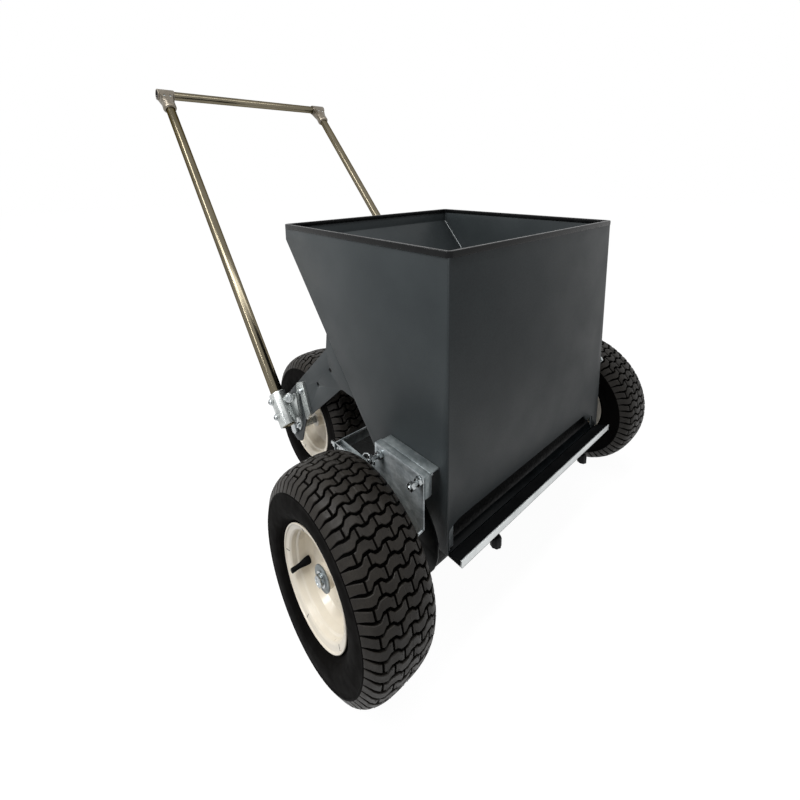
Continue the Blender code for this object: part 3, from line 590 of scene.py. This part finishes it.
def add_lug(bm, low, high, start):
    """One tread lug between stations low and high, its sides following the zigzag grooves."""
    wear_and_groove_shade = bm.verts.layers.float.get("wear_and_groove_shade") or bm.verts.layers.float.new("wear_and_groove_shade")
    a = low + (RIB_GAP if abs(low) < SHOULDER else 0.0)
    b = high - (RIB_GAP if abs(high) < SHOULDER else 0.0)
    marks = [sign * s for s, _ in ZIGZAG for sign in (-1, 1)]
    if a < 0 < b:
        marks += [-MOULD_FOOT, -MOULD_CROWN, MOULD_CROWN, MOULD_FOOT]
    knots = sorted({a, b} | {mark for mark in marks if a + LEAST_STEP < mark < b - LEAST_STEP})
    stations = []
    for s0, s1 in zip(knots, knots[1:]):
        pieces = max(1, round((s1 - s0) / LUG_STEP))
        stations += [s0 + (s1 - s0) * i / pieces for i in range(pieces)]
    stations.append(b)
    rows = []
    for index, s in enumerate(stations):
        at_end = index in (0, len(stations) - 1)
        half = GROOVE_HALF if abs(s) <= SHOULDER else WEDGE_HALF
        left = start + groove_offset(s) + half
        right = start + LUG_PITCH + groove_offset(s) - half
        radius = tread_radius(s) + (MOULD_LINE if abs(s) <= MOULD_CROWN and not at_end else 0.0)
        foot = tread_radius(s) - lug_depth(s) - LUG_SINK
        face = radius - (LUG_CHAMFER if at_end and abs(s) < SHOULDER else 0.0)
        inset = degrees(LUG_CHAMFER / radius)
        edge = radius - LUG_CHAMFER
        # The shares paint shade down each wall into the groove: the face keeps its worn tone and the foot is
        # darkest.
        line = [(left - LUG_DRAFT, foot, 0.0), (left, edge, EDGE_WEAR_AND_SHADE), (left + inset, face, 1.0),
                (right - inset, face, 1.0), (right, edge, EDGE_WEAR_AND_SHADE), (right + LUG_DRAFT, foot, 0.0)]
        ring = []
        for t, r, share in line:
            vert = bm.verts.new((s, r * cos(radians(t)), r * sin(radians(t))))
            vert[wear_and_groove_shade] = share
            ring.append(vert)
        rows.append(ring)
    for here, after in zip(rows, rows[1:]):
        bridge(bm, here, after, closed=False)
    for line in (rows[0], rows[-1]):
        bm.faces.new(line)


def add_vent_nub(bm, s, angle):
    """The stub that a mould vent leaves on a lug's face."""
    wear_and_groove_shade = bm.verts.layers.float["wear_and_groove_shade"]
    rings = []
    for rise, half in NUB_RINGS:
        radius = tread_radius(s) + rise
        ring = []
        for k in range(NUB_SIDES):
            turn = 2 * pi * k / NUB_SIDES
            t = radians(angle) + half * sin(turn) / radius
            ring.append(bm.verts.new((s + half * cos(turn), radius * cos(t), radius * sin(t))))
            ring[-1][wear_and_groove_shade] = NUB_WEAR
        rings.append(ring)
    bridge(bm, *rings)
    bm.faces.new(rings[1])
    bm.faces.new(rings[0])


def tread_module():
    """Two pitches of the turf pattern: lugs split in the middle, and lugs split off the middle."""
    bm = bmesh.new()
    even = (-WEDGE_END, -36.5, 0.0, 36.5, WEDGE_END)
    odd = (-WEDGE_END, -55.0, -18.0, 18.0, 55.0, WEDGE_END)
    for start, cuts in ((0.0, even), (LUG_PITCH, odd)):
        for low, high in zip(cuts, cuts[1:]):
            add_lug(bm, low, high, start)
            for s, share in ((low + NUB_INSET, 0.75), (high - NUB_INSET, 0.3)):
                if abs(s) < NUB_LIMIT:
                    add_vent_nub(bm, s, start + groove_offset(s) + LUG_PITCH * share)
    return bm


def carcass_profile():
    """Tyre wall from bead to bead, its crown sunk by the lugs' depth, with a fine line below the lugs."""
    steps = 18
    crown = [(s, tread_radius(s) - lug_depth(s))
             for s in (WEDGE_END * (2 * i / steps - 1) for i in range(steps + 1))]
    side = [(75.5, 165.8), (76.0, 164.8), (76.0, 163.6), (75.5, 162.8), (76.4, 155.0), (77.0, 147.0),
            (76.9, 139.0), (75.4, 129.0), (72.2, 121.4), (70.2, 118.4), (68.8, 117.8), (66.4, 114.4),
            (61.4, 110.6), (60.4, 107.0), (60.2, 99.6)]
    inner = [(52.0, 99.8), (53.0, 113.0), (64.0, 124.0), (70.0, 148.0), (58.0, 171.0), (44.0, 180.0)]
    right = crown + side + inner
    left = [(-s, r) for s, r in reversed(side + inner)]
    return right + left


def rim_profile(bore):
    """Pressed rim: rolled flange, stepped bead seat, well, dished web and a hub tube."""
    face = [(44.0, bore), (44.0, 22.0), (14.0, 23.5), (9.5, 34.0), (8.5, 56.0), (13.0, 70.0), (20.0, 81.0),
            (34.0, 86.0), (48.0, 87.5), (51.0, 91.0), (60.0, 92.6)]
    flange = [(63.2, 96.0), (65.2, 104.4), (67.4, 105.6), (68.0, 107.0), (67.4, 108.6), (65.6, 109.2),
              (63.2, 106.6), (60.6, 98.0)]
    well = [(22.0, 94.4), (-22.0, 94.4)]
    far_flange = [(-s, r) for s, r in reversed(flange)]
    inside = [(-60.0, 93.0), (-40.0, 91.6), (4.0, 91.0), (14.0, 84.0), (6.0, 72.0), (3.5, 56.0), (4.5, 34.0),
              (2.0, 22.0), (-60.0, 22.0), (-60.0, bore)]
    return rounded(face + flange + well + far_flange + inside, 1.6, 2)


def rim_notch_shade_module():
    """A thin black sliver across the flange's inner face, which paints the shade in a narrow notch as a dark
    tick.
    """
    half = radians(0.3)
    rings = []
    for s, r in ((62.4, 95.4), (63.2, 96.0), (65.2, 104.4)):
        rings.append([(s + out, (r - out) * cos(angle), (r - out) * sin(angle))
                      for angle, out in ((-half, -0.3), (-half, 0.3), (half, 0.3), (half, -0.3))])
    return loft(bmesh.new(), rings)


def build_wheel(label, sign, body, bore):
    centre = middle(f"{label}_tyre")
    lugs = moved(repeated(tread_module(), LUG_PAIRS, 2 * LUG_PITCH, (0, 0, 0), TREAD), centre)
    finish_mesh(f"{label}_tread_lugs", lugs, TREAD, body, smooth=25)
    finish_ring(f"{label}_carcass", rounded(carcass_profile(), 1.2, 1), centre, (1, 0, 0), SIDEWALL, body,
                (f"{label}_tyre",), 50, TYRE_SIDES)
    finish_ring(f"{label}_pressed_rim", rim_profile(bore), centre, (sign, 0, 0), CREAM, body,
                (f"{label}_rim",), 40, RIM_SIDES)
    # Black slivers paint the shade of the flange's notches; the notches themselves are not cut.
    notch_shades = repeated(rim_notch_shade_module(), RIM_NOTCHES, 360.0 / RIM_NOTCHES, (0, 0, 0), EDGE_RUBBER)
    finish_mesh(f"{label}_rim_notches", moved(notch_shades, centre, sign), EDGE_RUBBER, body, smooth=40)

    foot, tip = corners(f"{label}_valve")
    reach = max(abs(foot.x), abs(tip.x)) - abs(centre.x)
    root = min(abs(foot.x), abs(tip.x)) - abs(centre.x)
    stem = rounds((root, 7.6), (root + 2.5, 8.0), (root + 9.0, 7.4), (root + 17.0, 5.9), (root + 22.0, 5.0),
                  (reach - 11.0, 4.8), (reach - 10.6, 4.3), (reach - 9.8, 4.3), (reach - 9.4, 5.0),
                  (reach - 1.4, 5.0), (reach - 0.2, 4.2))
    base = (centre.x, (foot.y + tip.y) / 2, (foot.z + tip.z) / 2)
    finish_stud(f"{label}_valve_stem", stem, base, (sign, 0, 0), MATT_RUBBER, body, (f"{label}_valve",))


def build_wheels():
    axle_low, axle_high = corners("front_axle")
    axle_r = (axle_high.z - axle_low.z) / 2
    for side, sign in SIDES:
        build_wheel(f"front_{side}", sign, "drive_set", axle_r + AXLE_PLAY)
        build_wheel(f"rear_{side}", sign, f"rear_wheel_{side}", REAR_BORE)
        centre = middle(f"front_{side}_tyre")
        washer = rounded([(44.2, 9.0), (44.2, 25.0), (47.3, 25.0), (47.3, 9.0)], 0.7, 2)
        finish_ring(f"hub_washer_{side}", washer, centre, (sign, 0, 0), DULL_AND_SHADED_ZINC, "drive_set", count=48)
        head = rounds((44.3, 6.0), (47.5, 6.0), (47.5, 15.0), (49.0, 15.0), (49.4, 10.4))
        head += [(50.0, "hex", 10.4), (55.0, "hex", 10.4)]
        head += rounds((56.2, 9.6), (56.2, 6.6), (55.0, 6.0))
        finish_stud(f"hub_bolt_{side}_detail", head, centre, (sign, 0, 0), FASTENER, "drive_set",
                    (f"hub_bolt_{side}",), 30)
    softened(["front_axle"], FASTENER, 1.0, "drive_set")
    softened(["rear_axle"], FASTENER, 0.8)


# Hopper

FOLD_RADIUS = 2.7
SLOPE_TOP = (596.4, 764.0)
SLOPE_FOOT = (194.0, 303.0)
SEAM_RADIUS = 1.8
SEAM_STAND = 0.6
TRIM_HALF = 4.2
GROOVE_WALL = 1.8
TRIM_CROWN = 7.6
TRIM_BEND = 7.0
BEND_STEPS = 6
KNOB_FLUTES = 8
KNOB_SIDES = 64
APRON_LIFT = 0.4
APRON_BACK = 4.7
TOOTH_COUNT = 7
TOOTH_DEPTH = 2.2


def front_fold(a, b):
    """Whether an edge is one of the upright corners where the front sheet is bent round."""
    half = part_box("front_panel")[1].x
    near = 1e-5
    upright = abs(a.z - b.z) > 0.1
    return upright and all(abs(p.y - FRONT_FACE) < near and abs(abs(p.x) - half) < near for p in (a, b))


def build_trim():
    """Edge trim pushed on to the rim: a U section swept round the mouth with rounded corners."""
    low, high = corners("rim_trim")
    path_x = high.x - TRIM_HALF
    path_y = (high.y - low.y) / 2 - TRIM_HALF
    mid_y = (high.y + low.y) / 2
    crown = high.z - TRIM_CROWN
    section = rounded([(-TRIM_HALF, low.z), (-GROOVE_WALL, low.z), (-GROOVE_WALL, crown),
                       (GROOVE_WALL, crown), (GROOVE_WALL, low.z), (TRIM_HALF, low.z), (TRIM_HALF, high.z),
                       (-TRIM_HALF, high.z)], 2.2, 3)
    rows = []
    bm = bmesh.new()
    for cx, cy, start in ((1, 1, 0), (-1, 1, 90), (-1, -1, 180), (1, -1, 270)):
        for k in range(BEND_STEPS + 1):
            angle = radians(start + 90 * k / BEND_STEPS)
            rows.append([bm.verts.new((cx * (path_x - TRIM_BEND) + cos(angle) * (TRIM_BEND + off),
                                       mid_y + cy * (path_y - TRIM_BEND) + sin(angle) * (TRIM_BEND + off), z))
                         for off, z in section])
    for i, here in enumerate(rows):
        bridge(bm, here, rows[(i + 1) % len(rows)])
    finish_piece("hopper_edge_trim", bm, EDGE_RUBBER, "machine", ("rim_trim",), 40)


def build_hopper():
    softened(["side_panel_left", "side_panel_right", "rear_panel"], COAT, 0.8)
    softened(["front_panel"], COAT, 0.7, fold=front_fold)
    build_trim()
    inside = corners("side_panel_right")[0].x
    for side, sign in SIDES:
        # A pale bead along each inside corner paints the bright reflection on the joint.
        points = [(sign * (inside - SEAM_STAND), y, z) for y, z in (SLOPE_TOP, SLOPE_FOOT)]
        finish_rod(f"seam_bead_{side}", points, SEAM_RADIUS, 10, SEAM_HIGHLIGHT)
    softened(["metering_gate"], ENAMEL, 0.5, "gate")
    softened(["gate_guide_left", "gate_guide_right"], ZINC, 0.5)


def build_knob(side):
    """Round thumb knob with eight shallow flutes on a plain stud."""
    low, high = corners(f"apron_knob_{side}")
    cx = (low.x + high.x) / 2
    cy = (low.y + high.y) / 2
    grip = (high.x - low.x) / 2 - 0.2
    rings = []
    for z, r, flute in ((0.0, 8.0, 0.0), (0.6, 9.6, 0.3), (2.4, grip, 0.9), (19.0, grip, 0.9),
                        (22.6, 10.6, 0.5), (24.0, 8.4, 0.0), (24.4, 6.0, 0.0), (25.0, 4.0, 0.0),
                        (high.z - low.z, 4.0, 0.0)):
        ring = []
        for i in range(KNOB_SIDES):
            angle = 2 * pi * i / KNOB_SIDES
            reach = r - flute * (0.5 - 0.5 * cos(KNOB_FLUTES * angle))
            ring.append((cx + reach * cos(angle), cy + reach * sin(angle), low.z + z))
        rings.append(ring)
    finish_piece(f"fluted_knob_{side}", loft(bmesh.new(), rings), NYLON, f"knob_{side}",
                 (f"apron_knob_{side}",), 40)


def build_apron():
    """Sill tray, the ribbed rubber on it whose ends show as teeth, the bare lip and its knobs."""
    # The tray's near-black enamel is partly its own colour and partly painted shade, for the shade that falls
    # on it at the outlet.
    softened(["apron_tray"], ENAMEL, 0.5)
    softened(["lip_strip"], ALUMINIUM, 0.5)
    low, high = corners("apron_rubber")
    pitch = (high.y - low.y) / TOOTH_COUNT
    foot = low.z + APRON_LIFT
    root = foot + TOOTH_DEPTH
    outline = []
    for i in range(TOOTH_COUNT):
        y = high.y - i * pitch
        outline += [(y, foot), (y - pitch * 0.35, foot), (y - pitch * 0.5, root), (y - pitch * 0.85, root)]
    outline += [(low.y, foot), (low.y, high.z), (high.y, low.z + APRON_BACK)]
    finish_piece("apron_ribbed_rubber", extruded(bmesh.new(), low.x, high.x, outline), MATT_RUBBER, "machine",
                 ("apron_rubber",), 30)
    for side, _ in SIDES:
        build_knob(side)


EDGE_BEAD = 2.0
FRAME_WAIST = 200.0
WIRE_RADIUS = 1.5


def build_feed():
    softened(["conveyor_belt"], BELTING, 0.4)
    softened(["drive_drum"], ENAMEL, 0.3, "drive_set")
    softened(["tail_roller"], ENAMEL, 0.6, "tail_roller_body")
    # Painted shade and highlight: the frame's darker zinc stands in for the shade inside it, and the bright
    # bead on its top edge for the highlight that edge catches.
    softened(["tension_frame"], DULL_AND_SHADED_ZINC, 0.4)
    high = corners("tension_frame")[1]
    rim = high.z - EDGE_BEAD
    edge = [(sign * (high.x - EDGE_BEAD), y, rim) for sign, y in ((-1, FRAME_WAIST), (-1, high.y - EDGE_BEAD),
                                                                 (1, high.y - EDGE_BEAD), (1, FRAME_WAIST))]
    finish_rod("tension_frame_edge", edge, EDGE_BEAD, 12, FASTENER)
    hook = [(-325.0, 226.0, 280.0), (-325.6, 228.0, 292.0), (-326.4, 233.0, 300.5), (-327.6, 242.0, 304.0),
            (-328.8, 252.0, 301.0), (-329.6, 258.0, 294.0), (-330.0, 260.5, 286.0)]
    finish_rod("frame_wire_clip", hook, WIRE_RADIUS, 10, FASTENER)


# Fasteners

THREAD_PITCH = 1.5
THREAD_TOP = 4.85
THREAD_CORE = 4.1
HEAD_R = 5.4
HEAD_DEPTH = 6.4
WASHER_R = 9.8
WASHER_DEPTH = 1.8
NUT_FLATS = 7.9
# The inner nut's faces out from the axle plate, and the outer nut's back from the bolt's tip.
INNER_NUT = (2.0, 10.0)
OUTER_NUT = (11.0, 3.5)
# From the spacer bar over the axle plate to where the washer starts.
PLATE_STEP = 3.6


def thread(name, base, start, end, direction):
    """Thread ridges along a shank, drawn as rings a pitch apart, which is all that shows at this size."""
    module = turned(bmesh.new(), [(0.0, THREAD_CORE - 0.1), (0.45, THREAD_TOP), (0.75, THREAD_TOP),
                                  (1.2, THREAD_CORE - 0.1)], 20, (0, 0, 0))
    mesh = repeated(module, int((end - start) / THREAD_PITCH), 0.0, (THREAD_PITCH, 0, 0), FASTENER)
    turn = Vector((1, 0, 0)).rotation_difference(Vector(direction)).to_matrix().to_4x4()
    mesh.transform(Matrix.Translation(row(Vector(base) + Vector(direction) * start)) @ turn)
    finish_mesh(name, mesh, FASTENER, "machine", smooth=60)


def hex_steps(start, end, flats):
    """A nut or bolt head with chamfered corners."""
    return [(start, "round", flats * 0.96), (start + 0.5, "hex", flats), (end - 0.5, "hex", flats),
            (end, "round", flats * 0.96)]


def button_steps(start, radius, height):
    """A round button head with a hexagon socket in its crown."""
    shape = ((0.0, "round", 1.0), (0.35, "round", 1.0), (0.78, "round", 0.84), (1.0, "round", 0.58),
             (1.0, "hex", 0.38), (0.45, "hex", 0.38))
    return [(start + height * t, kind, radius * share) for t, kind, share in shape]


def build_fasteners():
    for side, sign in SIDES:
        out = (sign, 0, 0)
        for place in ("front", "rear"):
            node = f"bracket_bolt_{place}_{side}"
            low, high = corners(node)
            base = (0.0, (low.y + high.y) / 2, (low.z + high.z) / 2)
            tip = max(abs(low.x), abs(high.x))
            head = min(abs(low.x), abs(high.x))
            plate = corners("spacer_bar_right")[1].x + PLATE_STEP
            inner = [plate + gap for gap in INNER_NUT]
            outer = [tip - gap for gap in OUTER_NUT]
            steps = rounds((head, HEAD_R), (head + HEAD_DEPTH, HEAD_R), (head + HEAD_DEPTH, THREAD_CORE),
                           (plate, THREAD_CORE), (plate, WASHER_R), (plate + WASHER_DEPTH, WASHER_R))
            steps += hex_steps(*inner, NUT_FLATS)
            steps += rounds((inner[1], THREAD_CORE), (outer[0], THREAD_CORE))
            steps += hex_steps(*outer, NUT_FLATS)
            steps += rounds((outer[1], THREAD_CORE), (tip - 1.0, THREAD_CORE), (tip - 0.2, 3.2))
            finish_stud(node + "_detail", steps, base, out, FASTENER, "machine", (node,), 30)
            thread(node + "_thread_inner", base, inner[1] + 0.2, outer[0] - 0.2, out)
            thread(node + "_thread_tip", base, outer[1] + 0.1, tip - 0.6, out)
        softened([f"tension_bolt_{side}"], FASTENER, 0.4)
        softened([f"axle_plate_{side}"], ZINC, 0.6)
        softened([f"mount_angle_{side}", f"spacer_bar_{side}"], DULL_AND_SHADED_ZINC, 0.6)
        softened([f"axle_bearing_{side}"], TEE_CASTING, 0.8)
        softened([f"rear_arm_{side}"], COAT, 0.7)


# Handle

TUBE_WALL = 2.6
TUBE_PLAY = 0.4
PLUG_PLAY = 0.2
LEG_FOOT = (571.5, 229.5)
SLEEVE_R = 24.0
SLEEVE_STATIONS = (6.0, 104.0)
PALM_BACK = 323.4
PALM_FACE = 329.3
PALM_BOLTS = ((549.8, 338.0), (575.0, 221.0))
PALM_OUTLINE = ((575.0, 353.0), (541.0, 369.0), (503.0, 290.0), (518.0, 263.0), (530.0, 266.0),
                (560.0, 338.0), (567.0, 335.0), (561.0, 262.0), (558.0, 226.0), (566.0, 209.0),
                (581.0, 208.5), (588.5, 222.0))
NECK_FOOT = ((566.0, 250.0), (580.0, 317.0), (622.0, 304.0), (600.0, 237.0))
PIVOT = (343.0, 596.0, 303.0)
SET_SCREW_STATIONS = (39.0, 85.0)
TEE_SCREW = (1505.0, 1269.1)
TEE_SCREW_SPACING = 11.0
TEE_REACH = 31.5
TEE_SLEEVE_R = 22.3
# From a leg's middle to just past the end of the cross tube.
CROSS_END = 23.8


def tube(name, node, half_length, radius, base, direction, material):
    """A drawn tube with lightly broken ends in place of its CAD node."""
    profile = rounded([(-half_length, radius), (half_length, radius), (half_length, radius - TUBE_WALL),
                       (-half_length, radius - TUBE_WALL)], 0.5, 2)
    finish_ring(name, profile, base, direction, material, "handle", (node,), 40)


def build_tee(side, sign, leg_x, tube_r):
    """Corner casting: collar on the leg, sleeve and plug on the cross tube, two set screws sunk in front."""
    crossing = middle("handle_cross_tube")
    crossing.x = leg_x
    bore = tube_r + TUBE_PLAY
    collar = rounded([(-90.0, bore), (-89.4, 19.0), (-85.0, 23.6), (-81.0, 25.2), (-56.0, 24.8),
                      (-28.0, 21.0), (-28.0, bore)], 1.2, 3)
    finish_ring(f"tee_collar_{side}", collar, crossing, LEG_RISE, TEE_CASTING, "handle")
    sleeve = rounded([(-TEE_REACH, bore), (-TEE_REACH, TEE_SLEEVE_R), (TEE_REACH, TEE_SLEEVE_R),
                      (TEE_REACH, bore)], 1.6, 3)
    finish_ring(f"tee_sleeve_{side}", sleeve, crossing, (1, 0, 0), TEE_CASTING, "handle")
    root, stop = sorted(abs(corner.x) - abs(leg_x) for corner in corners(f"end_cap_{side}"))
    shank = tube_r - TUBE_WALL - PLUG_PLAY
    plug = rounds((root, shank), (CROSS_END, shank), (CROSS_END, tube_r), (TEE_REACH - 0.7, tube_r),
                  (TEE_REACH - 0.5, 16.4), (stop, 14.0))
    finish_stud(f"end_plug_{side}", plug, crossing, (sign, 0, 0), NYLON, "handle", (f"end_cap_{side}",),
                count=48)
    out = (0.0, -LEG_RISE.z, LEG_RISE.y)
    dimples = bmesh.new()
    spots = [(leg_x + step, *TEE_SCREW) for step in (-TEE_SCREW_SPACING, TEE_SCREW_SPACING)]
    for spot in spots:
        sectioned(dimples, rounds((-3.2, 4.6), (6.0, 7.4)), 20, spot, out)
    softened([f"tee_fitting_{side}"], TEE_CASTING, 1.0, "handle", 50, 3, dimples=dimples)
    for index, spot in enumerate(spots):
        screw = rounds((-3.4, 3.9), (-1.6, 3.9), (-1.2, 3.4)) + [(-1.2, "hex", 1.9), (-3.0, "hex", 1.9)]
        finish_stud(f"tee_set_screw_{side}_{index}", screw, spot, out, FASTENER, "handle")


def on_leg(leg_x, station):
    """A point on a leg's centre line, so far up from its foot."""
    return Vector((leg_x, LEG_FOOT[0] + LEG_RISE.y * station, LEG_FOOT[1] + LEG_RISE.z * station))


def build_clamp(side, sign, leg_x, tube_r):
    """Foot clamp: a sleeve with set screws, the neck that runs into its pivot, and the slotted palm."""
    out = (sign, 0, 0)
    half = (SLEEVE_STATIONS[1] - SLEEVE_STATIONS[0]) / 2
    bore = tube_r + TUBE_PLAY
    wall = rounded([(-half, bore), (half, bore), (half, SLEEVE_R), (-half, SLEEVE_R)], 1.6, 3)
    bm = turned(bmesh.new(), wall, 64, on_leg(leg_x, sum(SLEEVE_STATIONS) / 2), LEG_RISE)
    across = Vector((0.0, -LEG_RISE.z, LEG_RISE.y))
    root = [on_leg(leg_x - sign * 15.0, station) + across * offset
            for station, offset in ((18.0, 10.0), (88.0, 10.0), (88.0, -14.0), (18.0, -14.0))]
    face = [Vector((sign * (PALM_FACE + 1.0), y, z)) for y, z in NECK_FOOT]
    waist = [(a * 0.45 + b * 0.55) for a, b in zip(root, face)]
    finish_piece(f"clamp_body_{side}", loft(bm, [root, waist, face]), CLAMP_CASTING,
                 "machine", (f"clamp_sleeve_{side}",), 32)
    bm = extruded(bmesh.new(), *sorted((sign * PALM_BACK, sign * PALM_FACE)), rounded(PALM_OUTLINE, 5.0, 3))
    finish_piece(f"clamp_palm_{side}", bm, CLAMP_CASTING, "machine", (f"clamp_flange_{side}",), 32)

    for index, station in enumerate(SET_SCREW_STATIONS):
        base = on_leg(leg_x, station)
        boss = rounds((SLEEVE_R - 3.5, 11.5), (SLEEVE_R + 1.0, 11.0), (SLEEVE_R + 2.0, 9.6))
        finish_stud(f"clamp_boss_{side}_{index}", boss, base, out, CLAMP_CASTING)
        head = button_steps(SLEEVE_R + 1.6, 8.6, 6.8)
        finish_stud(f"clamp_set_screw_{side}_{index}", head, base, out, FASTENER)
    ahead = (sign * 0.62, -0.72, 0.31)
    base = (sign * PIVOT[0], *PIVOT[1:])
    knuckle = rounds((-14.0, 14.0), (5.0, 13.4), (6.4, 12.0))
    finish_stud(f"clamp_knuckle_{side}", knuckle, base, ahead, CLAMP_CASTING, count=32)
    nut = hex_steps(6.6, 14.0, 8.6) + rounds((14.0, 5.0), (9.6, 4.6))
    finish_stud(f"clamp_pivot_nut_{side}", nut, base, ahead, FASTENER)
    for index, spot in enumerate(PALM_BOLTS):
        bolt = rounds((PALM_FACE - 0.5, 9.0), (PALM_FACE + 1.4, 9.0))
        bolt += button_steps(PALM_FACE + 1.6, 7.6, 5.8)
        finish_stud(f"palm_bolt_{side}_{index}", bolt, (0.0, *spot), out, FASTENER)


def build_handle():
    low, high = corners("handle_cross_tube")
    tube_r = (high.z - low.z) / 2
    tube("handle_cross_bar", "handle_cross_tube", high.x, tube_r, (low + high) / 2, (1, 0, 0), CROSS_TUBE)
    for side, sign in SIDES:
        low, high = corners(f"handle_leg_{side}")
        centre = (low + high) / 2
        length = (high.z - low.z - 2 * tube_r * LEG_RISE.y) / LEG_RISE.z
        tube(f"handle_leg_tube_{side}", f"handle_leg_{side}", length / 2, tube_r, centre, LEG_RISE, LEG_TUBE)
        build_tee(side, sign, centre.x, tube_r)
        build_clamp(side, sign, centre.x, tube_r)


# Light, floor and camera

FLOOR_REACH = 14.0
FLOOR_DROP = 0.0005
FLOOR_GLOW = 1.48
FLOOR_SHADE = 0.35
ROOM_LIGHT = 0.24
WHITE = (1.0, 1.0, 1.0, 1.0)


def seen_directly(tree):
    """A factor of 1 for camera, glossy and transmission rays, which see the studio as plain white."""
    path = add_node(tree, "ShaderNodeLightPath")
    mirrored = add_node(tree, "ShaderNodeMath", {"operation": "MAXIMUM"},
                        {0: path.outputs["Is Glossy Ray"], 1: path.outputs["Is Transmission Ray"]})
    return add_node(tree, "ShaderNodeMath", {"operation": "MAXIMUM"},
                    {0: path.outputs["Is Camera Ray"], 1: mirrored})


def build_stage():
    """White floor that keeps a soft shadow, under a white world."""
    bm = bmesh.new()
    bmesh.ops.create_grid(bm, x_segments=1, y_segments=1, size=FLOOR_REACH)
    mesh = to_mesh("floor", bm)
    floor = linked("floor", mesh)
    floor.location.z = -FLOOR_DROP
    material = bpy.data.materials.new("white_studio_floor")
    material.use_nodes = True
    tree = material.node_tree
    shader = tree.nodes["Principled BSDF"]
    place = add_node(tree, "ShaderNodeTexCoord").outputs["Object"]
    paint = add_node(tree, "ShaderNodeTexNoise", {"Scale": per_mm(900.0)}, {"Vector": place})
    tone = add_node(tree, "ShaderNodeValToRGB", None, {"Fac": paint},
                    ((0.3, "#A2A2A2"), (0.7, "#A7A7A7")))
    tree.links.new(tone.outputs["Color"], shader.inputs["Base Color"])
    shader.inputs["Roughness"].default_value = 0.95
    shader.inputs["Specular IOR Level"].default_value = 0.1
    glow = add_node(tree, "ShaderNodeEmission", {"Color": WHITE, "Strength": FLOOR_GLOW})
    both = add_node(tree, "ShaderNodeMixShader", {"Fac": FLOOR_SHADE},
                    {1: glow, 2: shader})
    shown = add_node(tree, "ShaderNodeMixShader", None,
                     {"Fac": seen_directly(tree), 1: shader, 2: both})
    tree.links.new(shown.outputs["Shader"], tree.nodes["Material Output"].inputs["Surface"])
    mesh.materials.append(material)

    world = bpy.data.worlds.new("studio")
    bpy.context.scene.world = world
    world.use_nodes = True
    tree = world.node_tree
    background = tree.nodes["Background"]
    background.inputs["Color"].default_value = WHITE
    background.inputs["Strength"].default_value = ROOM_LIGHT
    bright = add_node(tree, "ShaderNodeBackground", {"Color": WHITE, "Strength": 1.0})
    blend = add_node(tree, "ShaderNodeMixShader", None,
                     {"Fac": seen_directly(tree), 1: background,
                      2: bright})
    tree.links.new(blend.outputs["Shader"], tree.nodes["World Output"].inputs["Surface"])


def area_light(name, place, aim, size, power, along):
    """A rectangular lamp whose second side lies along a direction."""
    data = bpy.data.lights.new(name, "AREA")
    data.shape = "RECTANGLE"
    data.size, data.size_y = size
    data.energy = power
    lamp = linked(name, data)
    back = (Vector(place) - Vector(aim)).normalized()
    across = Vector(along).cross(back).normalized()
    turn = Matrix((across, back.cross(across), back)).transposed()
    lamp.matrix_world = Matrix.Translation(place) @ turn.to_4x4()
    lamp.visible_camera = False


def build_lights():
    """A long strip that leans with the handle legs, one above along the cross tube, and a high softbox."""
    area_light("leaning_strip_light", place=(-1.7, 0.15, 2.0), aim=(-0.3, 0.1, 0.5), size=(0.2, 2.8),
               power=30.0, along=(0.8, 2.0, 1.9))
    area_light("overhead_strip_light", place=(0.1, -0.95, 2.8), aim=(0.0, -0.1, 0.4), size=(0.4, 3.0),
               power=21.0, along=(1.0, 0.0, 0.0))
    area_light("high_softbox", place=(-1.35, -0.35, 2.2), aim=(-0.3, 0.0, 0.6), size=(0.6, 0.6),
               power=18.0, along=(0.0, 1.0, 0.0))


def build_camera():
    """Solved from the hopper's edges and both front tyres' outlines."""
    heading = 0.7239
    tilt = 0.1682
    roll = -0.0139
    forward = Vector((sin(heading) * cos(tilt), cos(heading) * cos(tilt), -sin(tilt)))
    right = Vector((cos(heading), -sin(heading), 0.0))
    up = right.cross(forward)
    right_rolled = cos(roll) * right + sin(roll) * up
    up_rolled = -sin(roll) * right + cos(roll) * up
    data = bpy.data.cameras.new("camera")
    data.sensor_width = 36.0
    data.sensor_fit = "HORIZONTAL"
    data.lens = 19.007
    data.shift_y = -0.1923
    data.clip_start = 0.01
    camera = linked("camera", data)
    place = Matrix((right_rolled, up_rolled, -forward)).transposed().to_4x4()
    place.translation = row((-849.8, -470.4, 937.1))
    camera.matrix_world = place
    bpy.context.scene.camera = camera


build_hopper()
build_apron()
build_feed()
build_wheels()
build_fasteners()
build_handle()
build_stage()
build_lights()
build_camera()

bpy.context.scene.view_settings.view_transform = "Standard"
